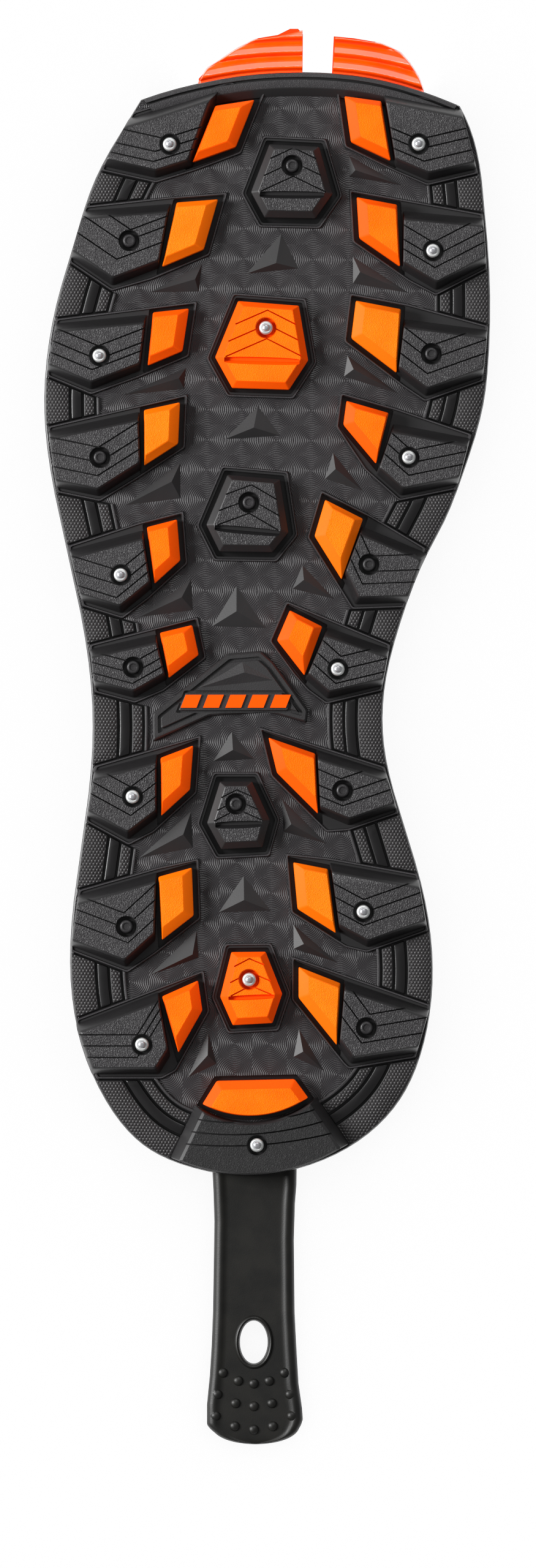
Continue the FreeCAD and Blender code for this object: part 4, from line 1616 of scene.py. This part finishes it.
def toe_path(sole: Sole, start: float, end: float, steps: int) -> tuple[np.ndarray, np.ndarray]:
    """A stretch of the toe's edge by its X, and the inward direction along it.

    Args:
        sole: the sole's edge.
        start: X of the first point.
        end: X of the last point.
        steps: how many points.

    Returns:
        The points, and a unit vector into the sole at each.
    """
    front = (sole.edge[:, 1] > 150) & (sole.normals[:, 1] > 0.5)
    toe, normals = sole.edge[front], sole.normals[front]
    order = np.argsort(toe[:, 0])
    x = np.linspace(start, end, steps)
    path = np.stack([x, np.interp(x, toe[order, 0], toe[order, 1])], axis=1)
    inward = -np.stack([np.interp(x, toe[order, 0], normals[order, axis]) for axis in (0, 1)], axis=1)
    return path, unit(inward)


def swept(path: np.ndarray, inward: np.ndarray, profile: np.ndarray) -> Shell:
    """A closed profile carried along a path: P(i, j) = path_i + inward_i d_j, at height z_j.

    Args:
        path: points of the path.
        inward: the direction that the profile's depth is measured in, at each point.
        profile: (depth, height) rows round the profile.

    Returns:
        The closed shell.
    """
    flat = path[:, None] + inward[:, None] * profile[None, :, :1]
    level = np.broadcast_to(profile[None, :, 1:], (*flat.shape[:2], 1))
    return lofted(np.concatenate([flat, level], axis=2))


@dataclass
class ToeBumper:
    """The toe bumper: a lip, a thin groove, a band and a slope down to the floor.

    Args:
        sole: the sole's edge.
        ends: X of its two ends.
        steps: stations along it.
        profile: depth in from the edge and height above the floor, round the section.
    """

    sole: Sole
    ends: tuple[float, float] = (-34.4, 52.9)
    steps: int = 90
    profile: tuple[tuple[float, float], ...] = (
        (0.1, -1.5), (0.1, 0.9), (0.35, 1.3), (1.35, 1.5), (1.5, 1.4), (1.55, 0.4), (1.95, 0.4),
        (2.0, 1.5), (2.2, 1.7), (4.3, 1.8), (4.7, 1.6), (6.6, 0.1), (6.8, -1.5),
    )

    def build(self) -> bpy.types.Object:
        """Make the bumper.

        Returns:
            The dressed piece.
        """
        path, inward = toe_path(self.sole, *self.ends, self.steps)
        piece = new_mesh("toe_bumper", swept(path, inward, np.array(self.profile) + (0.0, FLOOR)))
        mark_running_faces(piece, FLOOR + 1.2)
        smooth_by_angle(piece, 40)
        return dressed(piece, BUMPER_RUBBER, "lug_rubber")


@dataclass
class ArchPanel:
    """The arch panel: a plateau with a groove round its edge and round the bars, and a low wide point.

    Args:
        bars: outline of the field that the bars stand in.
        point: peak and three feet of the point.
        rise: height of the point.
        grooves: inset and width of the edge's groove, then of the field's.
        depth: depth of the grooves.
    """

    bars: tuple[tuple[float, float], ...] = ((-25.4, 6.6), (6.2, 6.6), (6.9, 9.0), (4.4, 12.8), (-23.0, 12.8))
    point: tuple[tuple[float, float], ...] = ((-6.3, 17.8), (-6.9, 20.8), (-19.4, 13.4), (1.9, 15.6))
    rise: float = 1.2
    grooves: tuple[tuple[float, float], ...] = ((1.3, 0.9), (0.0, 0.6))
    depth: float = 0.9

    def build(self) -> list[bpy.types.Object]:
        """Make the panel and its point.

        Returns:
            The two dressed pieces.
        """
        corners = face_loops("arch_panel", FLOOR)[0]
        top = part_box("arch_panel")[1].z / MM
        rim = block(corners, [(0.3, FLOOR - 0.3), (0.0, top - 0.4), (-0.4, top)], 0.6)
        piece = new_mesh("arch_panel_plate", rim)
        for outline, (inset, width) in zip((corners, np.array(self.bars)), self.grooves):
            ring = grown(outline, -inset)
            carved(piece, block(ring, [(0.0, top - self.depth), (0.0, top + 1)], 0.5))
            steps = [(-width, top - self.depth - 0.3), (-width, top - 0.2), (-width - 0.2, top)]
            carved(piece, block(ring, steps, 0.5), Cut.ADD)
        smooth_by_angle(piece)
        point = new_mesh("arch_panel_point", points_shell(np.array([self.point]), top, self.rise))
        slot = "panel_plastic"
        return [dressed(piece, PANEL_PLASTIC, slot, "arch_panel"), dressed(point, PANEL_PLASTIC, slot)]


@dataclass
class Studs:
    """Steel stud bodies, their hard tips and the blank pegs, turned about the wells' axes.

    Each profile's rows are a radius and a height. Heights count down from the part's own top, and a row
    that starts at None stands on the floor of the well.

    Args:
        body: profile of a stud body.
        tip: profile of its tip.
        peg: profile of a blank peg.
        spread: distance within which points belong to one stud.
    """

    body: tuple[tuple[float, float | None], ...] = (
        (0.5, None), (1.9, None), (1.9, -0.7), (1.85, -0.35), (1.6, -0.05), (1.35, 0.0), (1.15, -0.02),
        (1.02, -0.12), (0.6, -0.14),
    )
    tip: tuple[tuple[float, float | None], ...] = ((0.92, -0.3), (0.8, -0.1), (0.55, 0.0), (0.15, 0.0))
    peg: tuple[tuple[float, float | None], ...] = (
        (0.5, None), (1.9, None), (1.85, -0.5), (1.6, -0.1), (1.3, 0.0), (1.0, -0.05), (0.85, -0.25),
        (0.3, -0.3),
    )
    spread: float = 7.0

    def centres(self, node: str) -> np.ndarray:
        """Axis of each round solid in a grouped frame part.

        Args:
            node: the part's name.

        Returns:
            The axes, one to a row.
        """
        mesh = frame["nodes"][node].data
        points = np.empty(len(mesh.vertices) * 3)
        mesh.vertices.foreach_get("co", points)
        flat = points.reshape(-1, 3)[:, :2] / MM
        made = []
        while len(flat):
            near = np.linalg.norm(flat - flat[0], axis=1) < self.spread
            made.append((flat[near].min(0) + flat[near].max(0)) / 2)
            flat = flat[~near]
        return np.array(made)

    def profile(self, rows: tuple[tuple[float, float | None], ...], top: float) -> np.ndarray:
        """A profile's radii with its real heights.

        Args:
            rows: the profile.
            top: height of the part's top.

        Returns:
            (radius, height) rows.
        """
        base = LUG_TOP - WELL_DEPTH - 0.1
        return np.array([(radius, base if drop is None else top + drop) for radius, drop in rows])

    def build(self) -> list[bpy.types.Object]:
        """Make the three groups.

        Returns:
            The dressed pieces.
        """
        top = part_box("stud_jackets")[1].z / MM
        tip_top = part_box("stud_tips")[1].z / MM
        peg_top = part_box("blank_pegs")[1].z / MM
        body = self.profile(self.body, top)
        tip = np.vstack([[0.3, top - 0.5], [0.92, top - 0.5], self.profile(self.tip, tip_top)])
        peg = self.profile(self.peg, peg_top)
        made = []
        for name, rows, centres, finish, slot, node in (
            ("stud_bodies", body, "stud_tips", STUD_STEEL, "stud_steel", "stud_jackets"),
            ("stud_points", tip, "stud_tips", TIP_CARBIDE, "tip_carbide", "stud_tips"),
            ("moulded_pegs", peg, "blank_pegs", PLAIN_RUBBER, "peg_rubber", "blank_pegs"),
        ):
            piece = new_mesh(name, turned(rows, self.centres(centres)))
            smooth_by_angle(piece, 40)
            made.append(dressed(piece, finish, slot, node))
        return made


@dataclass
class ToeTab:
    """One ridged toe tab: bands that follow the toe's edge and fall away outwards.

    Args:
        sole: the sole's edge.
        name: name of the piece.
        stations: X of each station from the gap outwards.
        reaches: how far the tab stands out at each station.
        level: height of the creases at the toe's edge.
        fall: how fast they fall away outwards.
        first: distance from the toe's edge to the first crease.
        pitch: distance from crease to crease.
        band: place between two creases, and height above them.
        underside: height of the underside.
        rounding: width and foot of the rounded outer edge.
        steps: stations along the tab and outwards.
    """

    sole: Sole
    name: str
    stations: tuple[float, ...]
    reaches: tuple[float, ...]
    level: float = 4.9
    fall: float = 0.06
    first: float = 0.85
    pitch: float = 4.2
    band: tuple[tuple[float, ...], tuple[float, ...]] = (
        (0, 0.06, 0.14, 0.22, 0.4, 0.58, 0.72, 0.88, 1),
        (0, 0.8, 1.3, 1.5, 1.315, 1.13, 0.7, 0.16, 0),
    )
    underside: float = 0.4
    rounding: tuple[float, float] = (0.8, 0.8)
    steps: tuple[int, int] = (60, 110)

    def top(self, out: np.ndarray) -> np.ndarray:
        """Height of the ridged face.

        Each band climbs out of a sharp crease, rolls over a broad crest and drops to the next crease:
        h = level - fall out + band(u), with u the place between two creases.

        Args:
            out: distances out from the toe's edge.

        Returns:
            The heights.
        """
        u = np.mod(out - self.first, self.pitch) / self.pitch
        return self.level - self.fall * out + np.interp(u, *self.band) * (out > self.first)

    def build(self) -> bpy.types.Object:
        """Make the tab.

        Returns:
            The dressed piece.
        """
        count, across = self.steps
        way = np.sign(self.stations[-1] - self.stations[0])
        path, inward = toe_path(self.sole, self.stations[0], self.stations[-1], count)
        reach = np.interp(path[:, 0] * way, np.array(self.stations) * way, self.reaches)[:, None]
        t = np.linspace(0, 1, across)
        out = reach * t
        width, foot = self.rounding
        edge = np.clip((1 - t) * reach / width, 0, 1)
        level = foot + (self.top(out) - foot) * np.sqrt(1 - (1 - edge) ** 2)
        below = np.full_like(level, self.underside)
        root = np.ones((count, 1))
        depth = np.concatenate([-0.3 * root, out, out[:, ::-1], -0.3 * root], axis=1)
        height = np.concatenate([4.2 * root, level, below, self.underside * root], axis=1)
        flat = path[:, None] - inward[:, None] * depth[..., None]
        piece = new_mesh(self.name, lofted(np.concatenate([flat, height[..., None]], axis=2)))
        smooth_by_angle(piece, 50)
        return dressed(piece, TAB_PLASTIC, "plate_plastic")


@dataclass
class HeelStrap:
    """The rubber pull-strap: beaded edges, an eyelet with a raised rim, and grip domes.

    Args:
        level: height of the strap's mid-plane.
        half: half the thickness at the beads.
        web_half: half the thickness between the beads.
        seam: where the web ends and the pull tab starts.
        shoulder: where the pull tab starts to round off.
        left: distance of each station behind the sole's middle, and X of the strap's outer edge there.
        right: the same for its inner edge.
        eye: centre of the eyelet.
        rows: Y, half width and bow of each row of grip domes.
    """

    level: float = 3.2
    half: float = 1.9
    web_half: float = 1.35
    seam: float = -147.5
    shoulder: float = -190.5
    left: tuple[tuple[float, ...], tuple[float, ...]] = (
        (110, 120, 126, 135, 160, 170, 178, 186, 191.5, 193.7),
        (-15.2, -15.2, -14.9, -14.6, -15, -15.4, -15.9, -16.7, -16.7, -15.6),
    )
    right: tuple[tuple[float, ...], tuple[float, ...]] = (
        (110, 120, 125, 130, 140, 160, 170, 180, 187, 190, 192.5),
        (8.2, 8.2, 8.1, 7.7, 7.4, 7.6, 8.1, 8.7, 9.7, 9.9, 9.2),
    )
    eye: tuple[float, float] = (-3.7, -168.5)
    rows: tuple[tuple[float, float, float], ...] = (
        (-177.0, 8.6, 3.0), (-183.0, 10.1, 3.3), (-189.0, 10.6, 3.8),
    )

    def rings(self, stations: np.ndarray, squeeze: np.ndarray) -> np.ndarray:
        """Cross-sections of the strap.

        At distance e from the side the half-thickness is h(e) sqrt(1 - (1 - e / 2.4)^2) near the side,
        where h falls from the bead's to the web's between 1.9 and 3.6.

        Args:
            stations: Y of each section.
            squeeze: share of the full width at each section.

        Returns:
            The sections, shaped (stations, points, 3).
        """
        left = np.interp(-stations, *self.left)
        right = np.interp(-stations, *self.right)
        centre = (left + right) / 2
        width = (right - left) / 2 * squeeze
        q = -np.cos(np.linspace(0, np.pi, 41))
        q = np.sign(q) * np.abs(q) ** 0.8
        e = width[:, None] * (1 - np.abs(q))
        fall = np.clip((e - 1.9) / 1.7, 0, 1)
        thick = self.half - (self.half - self.web_half) * fall**2 * (3 - 2 * fall)
        roll = np.sqrt(np.clip(1 - (1 - np.clip(e / 2.4, 0, 1)) ** 2, 0.0004, 1))
        end = np.sqrt(np.clip(squeeze, 0.02, 1))[:, None]
        half = thick * roll * end
        x = centre[:, None] + width[:, None] * q
        y = np.broadcast_to(stations[:, None], x.shape)
        upper = np.stack([x, y, self.level + half], axis=-1)
        lower = np.stack([x, y, self.level - half], axis=-1)[:, ::-1]
        return np.concatenate([upper, lower], axis=1)

    def eyelet(self) -> tuple[Shell, Shell]:
        """The eyelet: an oval hole, and a round bead about it.

        Returns:
            The hole's cutter and the bead.
        """
        angle = np.linspace(0, 2 * np.pi, 64, endpoint=False)
        circle = np.stack([np.cos(angle), np.sin(angle)], axis=1)
        hole = self.eye + circle * (4.2, 6.45)
        bead = np.linspace(0, 2 * np.pi, 16, endpoint=False)
        ring = self.eye + circle * (4.75, 6.85)
        flat = ring[:, None] + circle[:, None] * (0.85 * np.cos(bead))[None, :, None]
        height = np.broadcast_to(self.level + 1.95 * np.sin(bead), flat.shape[:2])
        rim = lofted(np.concatenate([flat, height[..., None]], axis=2), closed_path=True)
        return lofted(np.stack([lifted(hole, -2.0), lifted(hole, 9.0)])), rim

    def domes(self) -> Shell:
        """The grip domes: rows of five, each row bowed to the tip by y = Y - bow (1 - t^2).

        Returns:
            One shell that holds them all.
        """
        t = np.linspace(-1, 1, 5)
        centres = [
            np.stack([self.eye[0] + spread * t, y - bow * (1 - t**2)], axis=1)
            for y, spread, bow in self.rows
        ]
        angle = np.linspace(0, np.pi / 2, 7)[:-1]
        top = self.level + self.web_half
        cap = np.column_stack([1.4 * np.cos(angle), top - 0.1 + 0.95 * np.sin(angle)])
        profile = np.vstack([[1.4, self.level], cap, [0.12, top + 0.85]])
        return turned(profile, np.concatenate(centres), 20)

    def web(self) -> bpy.types.Object:
        """The length by the heel, between the sole and the strap.

        Returns:
            The dressed piece.
        """
        stations = np.linspace(-119.0, self.seam, 60)
        piece = new_mesh("heel_strap_web", lofted(self.rings(stations, np.ones(60))))
        smooth_by_angle(piece, 40)
        dressed(piece, STRAP_RUBBER, "strap_rubber", "strap_web", body="")
        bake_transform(piece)
        return piece

    def tab(self) -> bpy.types.Object:
        """The pull tab with its eyelet and grip domes.

        Its tip closes by width = sqrt(1 - sin(a)^2.6), with a from 0 to a right angle.

        Returns:
            The dressed piece.
        """
        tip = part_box("strap_pull_tab")[0].y / MM
        body = np.linspace(self.seam, self.shoulder, 110)
        roll = np.sin(np.linspace(0, 1, 26)[1:] * np.pi / 2)
        stations = np.concatenate([body, self.shoulder + (tip - self.shoulder) * roll])
        closing = np.sqrt(np.clip(1 - roll**2.6, 0.004, 1))
        squeeze = np.concatenate([np.ones(len(body)), closing])
        piece = new_mesh("heel_strap_tab", lofted(self.rings(stations, squeeze)))
        hole, rim = self.eyelet()
        carved(piece, hole)
        carved(piece, rim, Cut.ADD)
        carved(piece, self.domes(), Cut.ADD)
        smooth_by_angle(piece, 38)
        dressed(piece, STRAP_RUBBER, "strap_rubber", "strap_pull_tab", body="")
        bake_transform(piece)
        return piece


@dataclass
class Studio:
    """Camera, lights and floor.

    Args:
        centre: the point of the sole under the middle of the view.
        span: length seen along the sole at the tread.
        distance: from the tread to the camera.
        tread: height that the distance is measured from.
        ambient: brightness of the surroundings, which the camera itself sees as white.
    """

    centre: tuple[float, float] = (0.255, -13.175)
    span: float = 435.2
    distance: float = 3000.0
    tread: float = 12.0
    ambient: float = 0.22

    def camera(self) -> None:
        """Look straight down on the tread with the toe up."""
        data = bpy.data.cameras.new("view")
        data.sensor_width = 36.0
        data.lens = 36.0 * self.distance / self.span
        data.clip_end = 20.0
        made = bpy.data.objects.new("view", data)
        height = (self.distance + self.tread) * MM
        made.location = (self.centre[0] * MM, self.centre[1] * MM, height)
        bpy.context.scene.collection.objects.link(made)
        bpy.context.scene.camera = made

    def lamp(
        self, name: str, place: tuple[float, float, float], size: tuple[float, float], power: float
    ) -> bpy.types.Object:
        """An area light that faces the middle of the sole.

        Args:
            name: its name.
            place: its place, in metres.
            size: its width and height, in metres.
            power: its power in watts.

        Returns:
            The light.
        """
        data = bpy.data.lights.new(name, "AREA")
        data.shape = "RECTANGLE"
        data.size, data.size_y = size
        data.energy = power
        made = bpy.data.objects.new(name, data)
        made.location = place
        made.rotation_euler = (-Vector(place)).to_track_quat("-Z", "Y").to_euler()
        bpy.context.scene.collection.objects.link(made)
        return made

    def link(
        self,
        name: str,
        lamps: list[bpy.types.Object],
        pieces: list[bpy.types.Object],
        state: str = "INCLUDE",
    ) -> None:
        """Let lights reach only certain pieces, or all but those.

        Args:
            name: name of the group.
            lamps: the lights.
            pieces: the pieces.
            state: INCLUDE, or EXCLUDE for all but the pieces.
        """
        group = bpy.data.collections.new(name)
        for index, piece in enumerate(pieces):
            group.objects.link(piece)
            group.collection_objects[index].light_linking.link_state = state
        for lamp in lamps:
            lamp.light_linking.receiver_collection = group

    def lights(self) -> None:
        """A soft key from the outer side and toe, which leaves the floor bright, and a weaker fill."""
        key = self.lamp("key", (-1.3, 0.2, 0.95), (0.5, 0.6), 43.0)
        fill = self.lamp("fill", (0.2, 1.45, 1.5), (1.0, 1.0), 13.0)
        wash = self.lamp("floor wash", (0.0, 0.0, 2.0), (1.0, 1.0), 60.0)
        wash.data.use_shadow = False
        self.link("lit by the floor wash", [wash], [self.ground])
        self.link("all but the floor", [key, fill], [self.ground], "EXCLUDE")
        world = bpy.data.worlds.new("studio")
        world.use_nodes = True
        tree = world.node_tree
        ray = add_node(tree, "ShaderNodeLightPath").outputs["Is Camera Ray"]
        bright = add_node(tree, "ShaderNodeMapRange", {"Value": ray, "To Min": self.ambient, "To Max": 1.0})
        tree.links.new(bright.outputs["Result"], tree.nodes["Background"].inputs["Strength"])
        tree.nodes["Background"].inputs["Color"].default_value = (1, 1, 1, 1)
        bpy.context.scene.world = world

    def toe_strip(self, tabs: list[bpy.types.Object]) -> None:
        """A flagged strip light beyond the toe that draws a pale band along each ridge of the tabs."""
        strip = self.lamp("toe strip", (0.0, 0.95, 1.5), (2.2, 0.3), 40.0)
        self.link("lit by the toe strip", [strip], tabs)

    def floor(self) -> None:
        """A pale floor that takes soft shadows."""
        corners = np.array([[-3, -3], [3, -3], [3, 3], [-3, 3]], float)
        mesh = bpy.data.meshes.new("studio_floor")
        mesh.from_pydata([(x, y, 0.0) for x, y in corners], [], [(0, 1, 2, 3)])
        made = bpy.data.objects.new("studio_floor", mesh)
        bpy.context.scene.collection.objects.link(made)
        made.data.materials.append(PALE_FLOOR.material())
        made.is_shadow_catcher = True
        self.ground = made


def dress_frame_parts() -> None:
    """Give the frame parts that stay visible their finishes."""
    for node, finish in (
        ("carrier_plate", TAB_PLASTIC),
        ("arch_badge", ORANGE_COMPOUND),
        ("strap_anchor", STRAP_RUBBER),
        ("anchor_rivets", STUD_STEEL),
        ("anchor_washers", STUD_STEEL),
    ):
        part = frame["nodes"][node]
        part.data.materials.clear()
        part.data.materials.append(finish.material())
        log.info("%s: frame part", node)


def main() -> None:
    """Build every piece in order."""
    studio = Studio()
    studio.camera()
    studio.floor()
    studio.lights()
    bpy.context.scene.view_settings.view_transform = "Standard"

    sole = Sole()
    tread = Tread(sole)
    moats = tread.moats()
    windows = windows_along(sole)
    tread.web(moats, [window.cutter() for window in windows])
    tread.pads(moats)
    tread.pyramids()
    for window in windows:
        window.build()
    ToeBumper(sole).build()
    ArchPanel().build()
    for side, number in tread.rows():
        name = f"{side.name.lower()}_{number}"
        Lug("lug_" + name, side, SIPES["lug_" + name], sole.wall()).build()
        # Some chips take the yellower copy of the compound, as painted shade.
        compound = SHADED_GOLDEN_COMPOUND if name in SHADED_GOLDEN_CHIPS else ORANGE_COMPOUND
        Chip("chip_" + name, -side.value, compound).build()
    HeelLug().build()
    HeelChip("chip_heel", 0, ORANGE_COMPOUND).build()
    for node in PODS:
        orange = node in ORANGE_PODS
        finish = ORANGE_COMPOUND if orange else LUG_RUBBER
        slot = "orange_compound" if orange else "lug_rubber"
        Pod(node, finish, slot, **POD_SHAPES.get(node, {})).build()
    Studs().build()
    left = ToeTab(
        sole, "toe_tab_left",
        stations=(9.8, 3.0, -2.5, -7.0, -12.5, -15.8, -19.0),
        reaches=(12.2, 10.6, 10.2, 8.4, 5.6, 4.3, 0.9),
    )
    right = ToeTab(
        sole, "toe_tab_right",
        stations=(18.3, 24.0, 30.0, 35.0, 38.0, 41.0, 43.4),
        reaches=(10.6, 10.5, 10.5, 9.3, 7.0, 4.2, 0.9),
    )
    studio.toe_strip([left.build(), right.build()])
    strap = HeelStrap()
    strap.web()
    strap.tab()
    dress_frame_parts()


if __name__ == "__main__":
    main()
